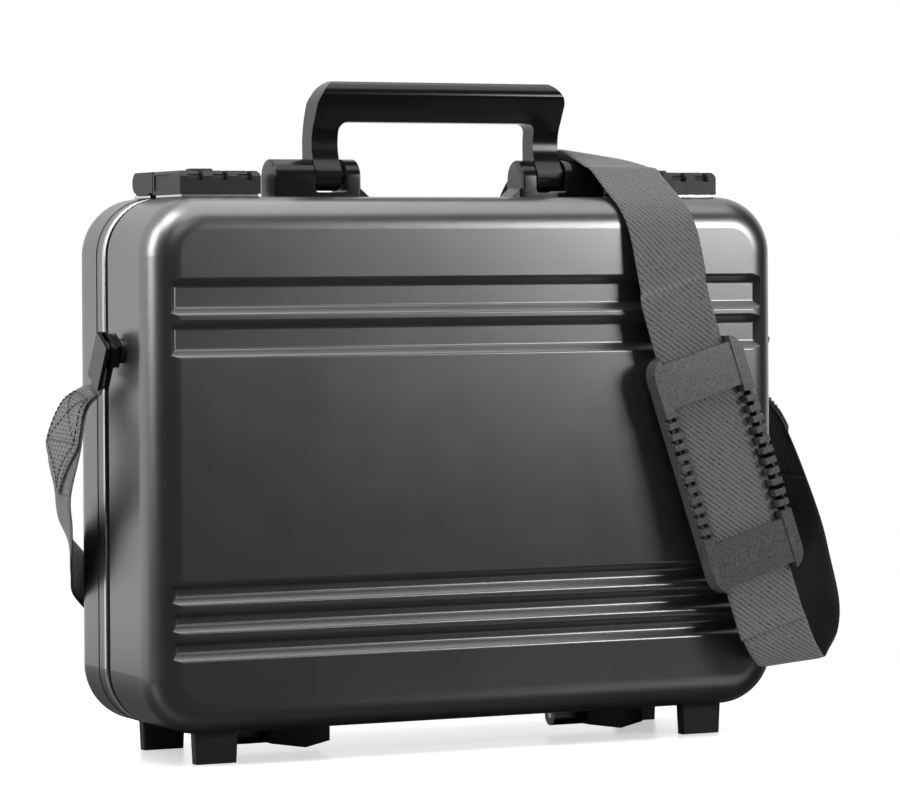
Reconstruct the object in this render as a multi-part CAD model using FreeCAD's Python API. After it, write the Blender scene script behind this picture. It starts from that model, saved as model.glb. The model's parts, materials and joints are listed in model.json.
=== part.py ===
import FreeCAD, Part
import math
import os

# Laptop hard case: two pressed aluminium shells on a bottom hinge, with locks, handle and strap.
# Frame: X to the right, Y to the back, Z up; the origin is on the floor under the case's middle.
# All lengths are in millimetres.

V = FreeCAD.Vector

# Case
case_width = 457.0
case_height = 343.0
case_depth = 140.0
case_corner = 38.0
face_fillet = 21.0
wall = 1.8
foot_height = 20.0
seam_back = 7.5
overrun = 3.0

# Pressed channels
channel_depth = 4.5
channel_radius = 2.6
channel_end = 15.5
wide_channel = 18.0
wide_land = 8.9
wide_drop = 54.9
wide_count = 2
narrow_channel = 9.2
narrow_land = 8.7
narrow_rise = 50.9
narrow_count = 3

# Rims and seal
base_edge_gap = 3.0
tongue_inset = 3.2
tongue_thick = 1.5
tongue_reach = 6.5
tongue_hold = 12.5
gasket_inset = 0.35
gasket_width = 5.7
lip_gap = 0.3
lip_thick = 2.9
lip_width = 4.5
lip_bevel = 1.6
flange_thick = 1.7
flange_width = 11.0
band_step = 0.4

# Lining and fittings inside
liner_gap = 0.2
liner_thick = 3.0
cradle_half_width = 170.0
cradle_thick = 20.0
cradle_depth = 38.0
cradle_rise = 170.0
side_pad_thick = 22.0
belt_width = 30.0
belt_thick = 2.0
belt_rise = 118.0
belt_buckle_half = 26.0
belt_buckle_thick = 7.0
buckle_height_share = 0.62
organiser_side_gap = 35.5
organiser_margin = 28.0
organiser_thick = 2.4
pocket_side_gap = 10.0
pocket_height = 170.0
pocket_depth = 13.0
pocket_wall = 1.8
card_pocket_width = 120.0
card_pocket_height = 84.0
card_pocket_depth = 8.0
card_pocket_shift = 84.0
card_pocket_rise = 30.0

# Feet
foot_width = 30.0
foot_thick = 9.0
foot_taper = 0.9
foot_centre = 177.0
foot_edge_gap = 20.0
foot_round = 1.6
foot_screw_head = 2.3
foot_screw_shank = 1.4
foot_screw_recess = 4.0
foot_screw_head_length = 2.6
foot_nut = 3.2
foot_nut_thick = 2.4
foot_screw_gap = 0.2

# Hinges
hinge_drop = 8.0
barrel_radius = 7.4
barrel_gap = 0.3
hinge_pin_radius = 2.4
running_gap = 0.05
leaf_thick = 1.8
leaf_depth = 22.0
hinge_left_end = 156.5
hinge_right_start = 77.0
leaf_width = 83.0
metal_knuckle_start = 14.0
metal_knuckle_width = 19.0
lid_knuckle_width = 34.5
end_knuckle_width = 7.3
block_end_drop_share = 0.61
block_apex_drop_share = 0.78
block_apex_share = 0.56
block_depth = 12.0
block_front = 22.5
block_slant = 3.0
rivet_radius = 1.6
rivet_head = 3.0
rivet_head_thick = 0.9
rivet_tail_thick = 0.8
rivet_edge = 4.0

# Scissor lid stays
stay_inset = 9.2
stay_gap = 0.8
stay_thick = 2.0
stay_half_width = 5.5
stay_half_spread = 15.0
stay_rise = 119.0
stay_pin_radius = 2.5
stay_head_radius = 4.2
stay_head_thick = 0.6
stay_foot_radius = 6.0
stay_foot_thick = 1.2

# Handle and its brackets
bracket_inner = 59.8
bracket_outer = 121.0
bracket_width = 25.0
bracket_straight = 13.0
bracket_edge = 1.2
slot_inner = 69.5
slot_outer = 92.6
slot_floor = 3.5
slot_corner = 2.5
wedge_reach = 8.0
wedge_rise = 7.0
wedge_side = 3.0
pivot_rise = 14.0
handle_pin_radius = 2.5
handle_pin_out = 8.0
hub_radius = 9.4
leg_outer = 90.8
leg_inner = 72.0
handle_rise = 62.5
grip_under = 36.0
handle_reach = 16.0
shoulder_in = 11.0
shoulder_drop = 24.0
shoulder_round_share = 0.29
opening_corner = 6.0
bracket_screw_radius = 2.0
bracket_screw_head = 3.8
bracket_screw_head_thick = 2.2
bracket_screw_length = 9.0
bracket_screw_edge = 5.0

# Locks
lock_centre = 168.0
lock_half_width = 28.1
lock_front = 40.8
lock_back_gap = 0.5
lock_height = 15.0
plate_thick = 2.0
plate_inset = 1.2
lock_bevel = 3.5
lock_end_bevel = 1.6
wheel_radius = 7.0
wheel_width = 9.6
wheel_pitch = 17.0
wheel_count = 3
wheel_flutes = 10
wheel_flute_radius = 0.7
wheel_y = 30.0
wheel_rise = 8.2
wheel_gap = 0.9
wheel_side_gap = 0.5
wheel_window = 6.2
spindle_radius = 1.6
spindle_end = 2.0
detent_width = 5.0
detent_thick = 0.5
detent_half_length = 5.0
panel_depth = 0.8
panel_margin = 2.5
panel_length = 27.0
slide_half_width = 8.0
slide_y = 4.0
slide_half_depth = 4.0
slide_height = 1.9
slide_gap = 0.2
slide_travel = 6.0
neck_half_width = 3.0
bolt_half_depth = 2.0
bolt_height = 4.0
bolt_rise = 5.0
bolt_inner = 8.0
bolt_clear = 0.35
hook_inner = 10.0
hook_width = 6.0
hook_reach = 9.0
hook_rise = 2.2
hook_height = 9.0
hook_side_gap = 0.5
hook_front_gap = 1.1
hasp_half_width = 20.0
hasp_pivot_y = 36.8
hasp_round = 6.9
hasp_ear_gap = 0.4
hasp_pin_radius = 1.8
ear_strip = 0.6

# Strap anchors
anchor_y = 18.0
anchor_rise = 244.5
anchor_stud_radius = 4.0
anchor_flange_radius = 8.0
anchor_flange_thick = 2.0
anchor_nut_radius = 6.0
anchor_nut_thick = 3.2
clip_gap = 0.4
clip_half_width = 10.0
clip_top = 8.5
clip_length = 24.0
clip_corner = 1.2
clip_stand = 7.2
clip_inner_thick = 2.0
clip_mouth = 3.2
clip_outer_thick = 2.6
clip_web = 2.0
clip_lean = 31.5
hub_half_width = 8.0
hub_layers = 3
hub_groove = 0.7
hub_core_radius = 6.6
stud_head_radius = 6.4
stud_head_thick = 1.6

# Strap and shoulder pad
strap_width = 51.0
strap_thick = 2.2
strap_over_lock = 13.2
strap_tab_start = 9.0
strap_tab_end = 26.0
strap_tab_half_width = 7.4
pad_half_width = 35.0
pad_length = 165.0
pad_corner = 13.0
pad_front = 8.0
pad_back = 5.0
pad_bar_height = 30.0
pad_bar_edge = 5.0
pad_bar_thick = 5.5
pad_rail = 8.0
pad_channel_gap = 0.4
pad_floor_thick = 3.4
pad_rib_count = 12
pad_rib_pitch = 7.4
pad_rib_gap = 3.2
pad_rib_wall = 2.2
pad_cushion_thick = 5.0
pad_cushion_inset = 3.0
pad_cushion_round = 3.0
pad_travel = 12.0
pad_lean = -16.9
pad_tilt = -2.8
pad_x = 173.5
pad_rise = 164.0
pad_stand = 19.5

# Derived places
half_width = case_width / 2
front_y = -case_depth / 2
back_y = case_depth / 2
bottom_z = foot_height
top_z = bottom_z + case_height
base_edge_y = seam_back - base_edge_gap
gasket_back_y = base_edge_y + gasket_width
lip_front_y = gasket_back_y + lip_gap
lid_edge_y = lip_front_y + lip_width
hinge_z = bottom_z - hinge_drop
inner_half = half_width - wall
plate_z = top_z + plate_thick
lock_top_z = plate_z + lock_height
pivot_z = top_z + pivot_rise
bracket_back_y = base_edge_y
bracket_front_y = bracket_back_y - bracket_width
bracket_y = (bracket_front_y + bracket_back_y) / 2
anchor_z = bottom_z + anchor_rise
clip_x = half_width + clip_stand
stay_x = half_width - stay_inset
stay_pin_z = hinge_z + stay_rise
liner_x = inner_half - liner_gap - liner_thick
organiser_half_width = liner_x - organiser_side_gap
pocket_half_width = organiser_half_width - pocket_side_gap
strap_crest = plate_thick + lock_height + strap_over_lock
liner_front_y = front_y + wall + channel_depth + liner_gap
liner_back_y = back_y - wall - channel_depth - liner_gap
tongue_front_y = seam_back - base_edge_gap - tongue_hold
tongue_back_y = seam_back + tongue_reach
flange_back_y = lid_edge_y + flange_width


def block(xs, ys, zs):
    """Block between two values on each axis, given in either order."""
    x0, x1 = sorted(xs)
    y0, y1 = sorted(ys)
    z0, z1 = sorted(zs)
    return Part.makeBox(x1 - x0, y1 - y0, z1 - z0, V(x0, y0, z0))


def rod(start, end, radius):
    """Round bar between two points."""
    along = end - start
    return Part.makeCylinder(radius, along.Length, start, along)


def x_rod(x0, x1, y, z, radius):
    """Round bar along X."""
    return rod(V(x0, y, z), V(x1, y, z), radius)


def z_rod(x, y, z0, z1, radius):
    """Round bar along Z."""
    return rod(V(x, y, z0), V(x, y, z1), radius)


def chain(runs):
    """Closed wire from runs of two points (a line) or three points (an arc)."""
    edges = []
    for run in runs:
        if len(run) == 2:
            edges.append(Part.LineSegment(*run).toShape())
        else:
            edges.append(Part.Arc(*run).toShape())
    return Part.Wire(edges)


def polygon(points):
    """Closed wire through corner points."""
    return Part.makePolygon(points + [points[0]])


def drawn(wire, way):
    """Solid made by moving a closed outline along a vector."""
    return Part.Face(wire).extrude(way)


def x_drawn(points, x0, x1):
    """Solid with a (y, z) outline, drawn along X."""
    return drawn(polygon([V(x0, y, z) for y, z in points]), V(x1 - x0, 0, 0))


def y_drawn(points, y0, y1):
    """Solid with an (x, z) outline, drawn along Y."""
    return drawn(polygon([V(x, y0, z) for x, z in points]), V(0, y1 - y0, 0))


def joined(shapes):
    """One solid from touching shapes."""
    return shapes[0].multiFuse(shapes[1:]).removeSplitter()


def mirrored(shape):
    """The same piece on the other side of the case."""
    return shape.mirror(V(0, 0, 0), V(1, 0, 0))


def moved(shape, offset):
    """A copy at another place."""
    copy = shape.copy()
    copy.translate(offset)
    return copy


def edges_where(shape, test):
    """The edges whose bounding box passes a test."""
    return [edge for edge in shape.Edges if test(edge.BoundBox)]


def case_outline(inset, y):
    """Rounded rectangle of the case, drawn inwards by an inset."""
    x1 = half_width - inset
    x0 = -x1
    z0 = bottom_z + inset
    z1 = top_z - inset
    r = case_corner - inset
    k = r * (1 - math.sqrt(0.5))
    return chain([
        (V(x0 + r, y, z0), V(x1 - r, y, z0)),
        (V(x1 - r, y, z0), V(x1 - k, y, z0 + k), V(x1, y, z0 + r)),
        (V(x1, y, z0 + r), V(x1, y, z1 - r)),
        (V(x1, y, z1 - r), V(x1 - k, y, z1 - k), V(x1 - r, y, z1)),
        (V(x1 - r, y, z1), V(x0 + r, y, z1)),
        (V(x0 + r, y, z1), V(x0 + k, y, z1 - k), V(x0, y, z1 - r)),
        (V(x0, y, z1 - r), V(x0, y, z0 + r)),
        (V(x0, y, z0 + r), V(x0 + k, y, z0 + k), V(x0 + r, y, z0)),
    ])


def case_prism(inset, y0, y1):
    """The case's outline, drawn along Y."""
    return drawn(case_outline(inset, y0), V(0, y1 - y0, 0))


def case_ring(outer_inset, inner_inset, y0, y1):
    """Frame that follows the case's outline."""
    return case_prism(outer_inset, y0, y1).cut(case_prism(inner_inset, y0, y1))


def face_rounded(shape, y, radius):
    """Round the edges that lie on the face at y."""
    rim = edges_where(shape, lambda b: abs(b.YMin - y) < running_gap and abs(b.YMax - y) < running_gap)
    return shape.makeFillet(radius, rim)


def channel_outline(place, half, depth, over):
    """Section of a pressed channel: flared mouth, slanted walls and a round-edged floor."""
    r = channel_radius
    slope = math.radians(45)
    tangent = r * math.tan(slope / 2)
    cut = tangent * math.cos(slope)
    lean = r * math.sin(slope / 2)
    rise = r - r * math.cos(slope / 2)
    mouth = half + depth / 2 + tangent
    foot = half - depth / 2 - tangent
    right = [
        (mouth, -over), (mouth, 0), (mouth - lean, rise), (mouth - tangent - cut, cut),
        (foot + tangent + cut, depth - cut), (foot + lean, depth - rise), (foot, depth),
    ]
    a = [place(s, d) for s, d in right]
    b = [place(-s, d) for s, d in right]
    return chain([
        (a[0], a[1]), (a[1], a[2], a[3]), (a[3], a[4]), (a[4], a[5], a[6]),
        (a[6], b[6]), (b[6], b[5], b[4]), (b[4], b[3]), (b[3], b[2], b[1]), (b[1], b[0]),
        (b[0], a[0]),
    ])


def channel(centre_z, width, face_y, grow):
    """Solid that presses one channel into a face; grow widens it for the metal's inner side."""
    half = width / 2 + grow
    length = half_width - channel_end + grow
    bar = drawn(channel_outline(lambda s, d: V(-half_width, face_y + d, centre_z + s),
                                half, channel_depth, overrun), V(case_width, 0, 0))
    ends = drawn(channel_outline(lambda s, d: V(s, face_y + d, bottom_z),
                                 length, channel_depth, overrun), V(0, 0, case_height))
    return bar.common(ends)


def channel_places():
    """Centre height and width of each channel."""
    places = []
    for i in range(wide_count):
        z = top_z - wide_drop - wide_channel / 2 - i * (wide_channel + wide_land)
        places.append((z, wide_channel))
    for i in range(narrow_count):
        z = bottom_z + narrow_rise + narrow_channel / 2 + i * (narrow_channel + narrow_land)
        places.append((z, narrow_channel))
    return places


def pressed_shell(depth):
    """Half of the case as a pressed tray, open towards +Y, with its face at the front."""
    outer = face_rounded(case_prism(0, front_y, front_y + depth), front_y, face_fillet)
    inner = face_rounded(case_prism(wall, front_y + wall, front_y + depth + overrun),
                         front_y + wall, face_fillet - wall)
    grow = wall * (math.sqrt(2) - 1)
    for z, width in channel_places():
        outer = outer.cut(channel(z, width, front_y, 0))
        inner = inner.cut(channel(z, width, front_y + wall, grow))
    return outer.cut(inner)


def turned(shape):
    """The shape turned half round about Z, so that a front becomes a back."""
    copy = shape.copy()
    copy.rotate(V(0, 0, 0), V(0, 0, 1), 180)
    return copy


def front_rim():
    """Frame riveted inside the base's edge, with the tongue that enters the lid."""
    hold = case_ring(wall, tongue_inset + tongue_thick, tongue_front_y, base_edge_y)
    tongue = case_ring(tongue_inset, tongue_inset + tongue_thick, tongue_front_y, tongue_back_y)
    return joined([hold, tongue])


def rim_gasket():
    """Seal round the tongue."""
    return case_ring(gasket_inset, tongue_inset, base_edge_y, gasket_back_y)


def rear_rim():
    """Bright lip of the lid, with the flange that stiffens the lid's edge."""
    lip = case_ring(0, lip_thick, lip_front_y, lid_edge_y)
    nose = edges_where(lip, lambda b: b.YMax < lip_front_y + running_gap
                       and (b.XMax - b.XMin > 0 or b.ZMax - b.ZMin > 0)
                       and (b.ZMax > top_z - running_gap or b.ZMin < bottom_z + running_gap
                            or b.XMax > half_width - running_gap
                            or b.XMin < running_gap - half_width))
    lip = lip.makeChamfer(lip_bevel, nose)
    flange = case_ring(wall, wall + flange_thick, lid_edge_y - running_gap, flange_back_y)
    return joined([lip, flange])


def lined_room(face_y, edge_y):
    """The room inside one shell's lining."""
    inset = wall + liner_gap + liner_thick
    return face_rounded(case_prism(inset, face_y + liner_thick, edge_y + overrun),
                        face_y + liner_thick, face_fillet - inset)


def liner(face_y, edge_y):
    """Lining of one shell, a thin tray with its face at the front."""
    inset = wall + liner_gap
    outer = face_rounded(case_prism(inset, face_y, edge_y), face_y, face_fillet - inset)
    return outer.cut(lined_room(face_y, edge_y))


def laptop_cradle():
    """Bottom pad and two side pads that the laptop sits between."""
    floor_z = bottom_z + wall + liner_gap + liner_thick
    front = liner_front_y + liner_thick
    ys = (front, front + cradle_depth)
    pads = [block((-cradle_half_width, cradle_half_width), ys, (floor_z, floor_z + cradle_thick))]
    for side in (-1, 1):
        xs = (side * cradle_half_width, side * (cradle_half_width + side_pad_thick))
        pads.append(block(xs, ys, (floor_z + cradle_thick, floor_z + cradle_thick + cradle_rise)))
    room = lined_room(liner_front_y, tongue_front_y)
    return [pad.common(room) for pad in pads]


def laptop_belt():
    """Two belt halves from the side pads to a buckle in the middle."""
    back = liner_front_y + liner_thick + cradle_depth
    z0 = bottom_z + belt_rise
    zs = (z0, z0 + belt_width)
    reach = cradle_half_width + side_pad_thick / 2
    halves = []
    for side in (-1, 1):
        halves.append(block((side * belt_buckle_half, side * reach), (back, back + belt_thick), zs))
    middle = z0 + belt_width / 2
    half = belt_width * buckle_height_share
    buckle = block((-belt_buckle_half, belt_buckle_half),
                   (back - belt_buckle_thick / 2, back + belt_buckle_thick / 2),
                   (middle - half, middle + half))
    rim = edges_where(buckle, lambda b: b.YMax - b.YMin > belt_thick)
    return halves, buckle.makeFillet(belt_thick, rim)


def pocket(x_middle, half, front, back, z0, height):
    """Open-topped pocket whose back is the panel behind it."""
    outer = block((x_middle - half, x_middle + half), (front, back), (z0, z0 + height))
    inner = block((x_middle - half + pocket_wall, x_middle + half - pocket_wall),
                  (front + pocket_wall, back + overrun), (z0 + pocket_wall, z0 + height + overrun))
    return outer.cut(inner)


organiser_back_y = liner_back_y - liner_thick
organiser_front_y = organiser_back_y - organiser_thick
pocket_front_y = organiser_front_y - pocket_depth
card_front_y = pocket_front_y - card_pocket_depth
organiser_z0 = bottom_z + organiser_margin
organiser_z1 = top_z - organiser_margin


def organiser_panel():
    """Flat panel in the lid that carries the pockets."""
    xs = (-organiser_half_width, organiser_half_width)
    panel = block(xs, (organiser_front_y, organiser_back_y), (organiser_z0, organiser_z1))
    corners = edges_where(panel, lambda b: b.XMax - b.XMin < running_gap
                          and b.ZMax - b.ZMin < running_gap)
    return panel.makeFillet(organiser_margin / 2, corners)


def card_pockets():
    """Two small pockets on the front of the document pocket."""
    z0 = organiser_z0 + card_pocket_rise
    return [pocket(side * card_pocket_shift, card_pocket_width / 2, card_front_y, pocket_front_y,
                   z0, card_pocket_height) for side in (-1, 1)]


def foot(y_near):
    """One slightly tapered block foot with a screw recess, standing behind y_near."""
    y_far = y_near + foot_thick
    middle = (y_near + y_far) / 2
    top = [V(foot_centre + sx * foot_width / 2, middle + sy * foot_thick / 2, bottom_z)
           for sx, sy in ((-1, -1), (1, -1), (1, 1), (-1, 1))]
    low = [V(foot_centre + sx * (foot_width / 2 - foot_taper), middle
             + sy * (foot_thick - foot_taper) / 2, 0) for sx, sy in ((-1, -1), (1, -1), (1, 1), (-1, 1))]
    body = Part.makeLoft([polygon(low), polygon(top)], True, True)
    sides = edges_where(body, lambda b: b.ZMax - b.ZMin > foot_height / 2)
    body = body.makeFillet(foot_round, sides)
    recess = z_rod(foot_centre, middle, -overrun, foot_screw_recess + foot_screw_head_length,
                   foot_screw_head + foot_screw_gap)
    shank = z_rod(foot_centre, middle, 0, foot_height, foot_screw_shank)
    return body.cut([recess, shank])


def foot_screw(y_near):
    """Screw up through one foot into a nut inside the shell."""
    y = y_near + foot_thick / 2
    head_z = foot_screw_recess
    nut_z = bottom_z + wall
    head = z_rod(foot_centre, y, head_z, head_z + foot_screw_head_length, foot_screw_head)
    shank = z_rod(foot_centre, y, head_z, nut_z + foot_nut_thick, foot_screw_shank)
    nut = z_rod(foot_centre, y, nut_z, nut_z + foot_nut_thick, foot_nut)
    return joined([head, shank, nut])


front_foot_y = front_y + foot_edge_gap
rear_foot_y = back_y - foot_edge_gap - foot_thick


def knuckle(x0, x1, side):
    """Hinge knuckle with its web up to the case; side -1 is the base, 1 the lid."""
    barrel = x_rod(x0, x1, seam_back, hinge_z, barrel_radius)
    ys = (seam_back, seam_back + side * barrel_radius)
    web = block((x0, x1), ys, (hinge_z, bottom_z - leaf_thick))
    bore = x_rod(x0 - overrun, x1 + overrun, seam_back, hinge_z, hinge_pin_radius + running_gap)
    return joined([barrel, web]).cut(bore)


def hinge_spans(x0):
    """Knuckle spans along one hinge: end, metal, lid and far end."""
    metal0 = x0 + metal_knuckle_start
    metal1 = metal0 + metal_knuckle_width
    lid0 = metal1 + barrel_gap
    lid1 = lid0 + lid_knuckle_width
    end0 = lid1 + barrel_gap
    return (metal0, metal1), (lid0, lid1), (end0, end0 + end_knuckle_width)


def rivet_places(x0, side):
    """Rivet centres on one leaf."""
    edge = base_edge_y if side < 0 else lid_edge_y
    y = edge + side * (leaf_depth - rivet_edge)
    metal_middle = metal_knuckle_start + metal_knuckle_width / 2
    return [(x0 + rivet_edge, y), (x0 + metal_middle, y), (x0 + leaf_width - rivet_edge, y)]


def hinge_rivet(x, y):
    """Rivet through a leaf and the shell."""
    low = bottom_z - leaf_thick
    head = z_rod(x, y, low - rivet_head_thick, low, rivet_head)
    shank = z_rod(x, y, low, bottom_z + wall, rivet_radius)
    tail = z_rod(x, y, bottom_z + wall, bottom_z + wall + rivet_tail_thick, rivet_head)
    return joined([head, shank, tail])


def hinge_leaf(x0, side):
    """Leaf plate with the knuckles of one half of a hinge."""
    edge = base_edge_y if side < 0 else lid_edge_y
    metal, lid, end = hinge_spans(x0)
    spans = [metal, end] if side < 0 else [lid]
    plate = block((x0, x0 + leaf_width), (edge, edge + side * leaf_depth),
                  (bottom_z - leaf_thick, bottom_z))
    parts = [plate]
    for a, b in spans:
        ys = (seam_back + side * running_gap, edge)
        parts.append(block((a, b), ys, (bottom_z - leaf_thick, bottom_z - running_gap)))
        parts.append(knuckle(a, b, side))
    cuts = [hinge_rivet(x, y) for x, y in rivet_places(x0, side)]
    for a, b in [lid] if side < 0 else [metal, end]:
        cuts.append(x_rod(a - barrel_gap, b + barrel_gap, seam_back, hinge_z,
                          barrel_radius + barrel_gap))
    return joined(parts).cut(cuts)


def hinge_block(x0):
    """Ridged stop block in front of the lid's and the end knuckle, lowest near its middle."""
    metal, lid, end = hinge_spans(x0)
    start = lid[0]
    stop = end[1]
    apex = start + (stop - start) * block_apex_share
    top = bottom_z - leaf_thick
    low = top - bottom_z * block_apex_drop_share
    ends = top - bottom_z * block_end_drop_share
    front = seam_back - block_front
    back = front + block_depth
    profile = [(start, top), (start, ends), (apex, low), (stop, ends), (stop, top)]
    body = y_drawn(profile, front, back)
    plan = polygon([V(start, front + block_slant, 0), V(apex, front, 0),
                    V(stop, front + block_slant, 0), V(stop, back, 0), V(start, back, 0)])
    return body.common(drawn(plan, V(0, 0, bottom_z)))


def hinge_pin(x0):
    """Pin through all the knuckles of one hinge."""
    metal, lid, end = hinge_spans(x0)
    return x_rod(metal[0], end[1], seam_back, hinge_z, hinge_pin_radius)


hinge_starts = (-hinge_left_end, hinge_right_start)


def stay_arm(y0, z0, y1, z1, x_outer):
    """Flat arm with a round eye at each end, on the right side."""
    x_inner = x_outer - stay_thick
    along = V(0, y1 - y0, z1 - z0)
    across = V(0, -along.z, along.y).normalize() * stay_half_width
    a = V(x_inner, y0, z0)
    b = V(x_inner, y1, z1)
    bar = drawn(polygon([a + across, b + across, b - across, a - across]), V(stay_thick, 0, 0))
    eyes = [x_rod(x_inner, x_outer, y, z, stay_half_width) for y, z in ((y0, z0), (y1, z1))]
    holes = [x_rod(x_inner - overrun, x_outer + overrun, y, z, stay_pin_radius + running_gap)
             for y, z in ((y0, z0), (y1, z1))]
    return joined([bar] + eyes).cut(holes)


stay_y = {"front": seam_back - stay_half_spread, "rear": seam_back + stay_half_spread}
elbow_y = seam_back
elbow_z = hinge_z + 2 * stay_rise
outer_arm_x = stay_x
inner_arm_x = stay_x - stay_thick - stay_gap


def stay_stud(y, arm_x):
    """Stud from the shell's side wall through an arm's eye, on the right side."""
    head_x = arm_x - stay_thick - running_gap
    foot_plate = x_rod(inner_half - stay_foot_thick, inner_half, y, stay_pin_z, stay_foot_radius)
    pin = x_rod(head_x - stay_head_thick, inner_half, y, stay_pin_z, stay_pin_radius)
    head = x_rod(head_x - stay_head_thick, head_x, y, stay_pin_z, stay_head_radius)
    return joined([foot_plate, pin, head])


def elbow_rivet():
    """Rivet that joins the two arms at the elbow, on the right side."""
    out_x = outer_arm_x + running_gap
    in_x = inner_arm_x - stay_thick - running_gap
    pin = x_rod(in_x, out_x, elbow_y, elbow_z, stay_pin_radius)
    outer_head = x_rod(out_x, out_x + stay_head_thick, elbow_y, elbow_z, stay_head_radius)
    inner_head = x_rod(in_x - stay_head_thick, in_x, elbow_y, elbow_z, stay_head_radius)
    return joined([pin, outer_head, inner_head])


def handle_bracket():
    """Round-topped block on the right half of the base's top, slotted for the handle's leg."""
    half = bracket_width / 2
    straight_z = top_z + bracket_straight
    wire = chain([
        (V(bracket_inner, bracket_front_y, top_z), V(bracket_inner, bracket_back_y, top_z)),
        (V(bracket_inner, bracket_back_y, top_z), V(bracket_inner, bracket_back_y, straight_z)),
        (V(bracket_inner, bracket_back_y, straight_z), V(bracket_inner, bracket_y, straight_z + half),
         V(bracket_inner, bracket_front_y, straight_z)),
        (V(bracket_inner, bracket_front_y, straight_z), V(bracket_inner, bracket_front_y, top_z)),
    ])
    body = drawn(wire, V(bracket_outer - bracket_inner, 0, 0))
    arches = edges_where(body, lambda b: b.XMax - b.XMin < running_gap
                         and b.ZMax > straight_z + half - running_gap)
    body = body.makeFillet(bracket_edge, arches)
    slot = block((slot_inner, slot_outer), (bracket_front_y - overrun, bracket_back_y + overrun),
                 (top_z + slot_floor, straight_z + half + overrun))
    floor = edges_where(slot, lambda b: b.ZMax < top_z + slot_floor + running_gap
                        and b.YMax - b.YMin > half)
    slot = slot.makeFillet(slot_corner, floor)
    wedge = y_drawn([(bracket_inner - wedge_reach, top_z), (bracket_inner + running_gap, top_z),
                     (bracket_inner + running_gap, top_z + wedge_rise)],
                    bracket_front_y + wedge_side, bracket_back_y - wedge_side)
    pin = handle_pin()
    return joined([body, wedge]).cut([slot, pin])


def handle_pin():
    """Pivot pin of the handle's right leg, held in the bracket."""
    return x_rod(slot_inner - handle_pin_out, slot_outer + handle_pin_out, bracket_y, pivot_z,
                 handle_pin_radius)


def bracket_screws():
    """Screws from inside the base into the right bracket."""
    places = ((bracket_inner + bracket_screw_edge, bracket_y),
              ((slot_outer + bracket_outer) / 2, bracket_y))
    screws = []
    for x, y in places:
        head_z = top_z - wall
        head = z_rod(x, y, head_z - bracket_screw_head_thick, head_z, bracket_screw_head)
        shank = z_rod(x, y, head_z, top_z + bracket_screw_length, bracket_screw_radius)
        screws.append(joined([head, shank]))
    return screws


# Handle side view: each place is a share of the reach (towards the front) and of the rise
hub_front_share = (-0.59, 0.06)
waist_share = (-0.16, 0.29)
neck_share = (-0.31, 0.53)
nose_share = (-1.0, 0.85)
crown_share = (-0.62, 1.0)
shoulder_back_share = (0.15, 0.86)
leg_back_share = (0.58, 0.65)
leg_heel_share = (0.83, 0.38)
hub_back_share = (0.82, 0.19)


def handle():
    """Grip and two legs: the side view's form, cut to the front view's outline."""
    def place(share):
        return V(-leg_outer, bracket_y + share[0] * handle_reach, pivot_z + share[1] * handle_rise)

    low_front = V(-leg_outer, bracket_y - hub_radius, pivot_z)
    low = V(-leg_outer, bracket_y, pivot_z - hub_radius)
    low_back = V(-leg_outer, bracket_y + hub_radius, pivot_z)
    side = chain([
        (low_back, low, low_front),
        (low_front, place(hub_front_share)),
        (place(hub_front_share), place(waist_share), place(neck_share)),
        (place(neck_share), place(nose_share)),
        (place(nose_share), place(crown_share), place(shoulder_back_share)),
        (place(shoulder_back_share), place(leg_back_share), place(leg_heel_share)),
        (place(leg_heel_share), place(hub_back_share)),
        (place(hub_back_share), low_back),
    ])
    body = drawn(side, V(2 * leg_outer, 0, 0))
    top = pivot_z + handle_rise
    low_z = pivot_z - hub_radius - overrun

    def corner(side, inward, drop):
        return V(side * (leg_outer - inward), -case_depth, top - drop)

    foot_z = top - low_z
    shoulders = [(corner(side, 0, shoulder_drop),
                  corner(side, shoulder_in * shoulder_round_share, shoulder_drop * shoulder_round_share),
                  corner(side, shoulder_in, 0)) for side in (-1, 1)]
    outline = chain([
        (corner(-1, 0, foot_z), corner(1, 0, foot_z)),
        (corner(1, 0, foot_z), corner(1, 0, shoulder_drop)),
        shoulders[1],
        (corner(1, shoulder_in, 0), corner(-1, shoulder_in, 0)),
        shoulders[0][::-1],
        (corner(-1, 0, shoulder_drop), corner(-1, 0, foot_z)),
    ])
    front = drawn(outline, V(0, 2 * case_depth, 0))
    gap = block((-leg_inner, leg_inner), (-case_depth, case_depth),
                (low_z - overrun, pivot_z + grip_under))
    corners = edges_where(gap, lambda b: b.ZMin > pivot_z + grip_under - running_gap
                          and b.XMax - b.XMin < running_gap)
    gap = gap.makeFillet(opening_corner, corners)
    bore = x_rod(-case_width, case_width, bracket_y, pivot_z, handle_pin_radius + running_gap)
    return body.common(front).cut([gap, bore])


def lock_x(side, offset):
    """Place along X, counted outwards from a lock's middle."""
    return side * (lock_centre + offset)


def lock_block(side, start, end, y0, y1):
    """Bevelled block of a lock between two offsets and two depths."""
    return block((lock_x(side, start), lock_x(side, end)), (y0, y1), (plate_z, lock_top_z))


def bolt_solid(side, grow, travel):
    """Bolt bar of one lock, grown for its channel."""
    z0 = plate_z + bolt_rise
    return block((lock_x(side, -bolt_inner - grow), lock_x(side, hook_inner - hook_side_gap
                                                           - 2 * bolt_clear + travel + grow)),
                 (-slide_y - bolt_half_depth - grow, -slide_y + bolt_half_depth + grow),
                 (z0 - grow, z0 + bolt_height + grow))


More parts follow.
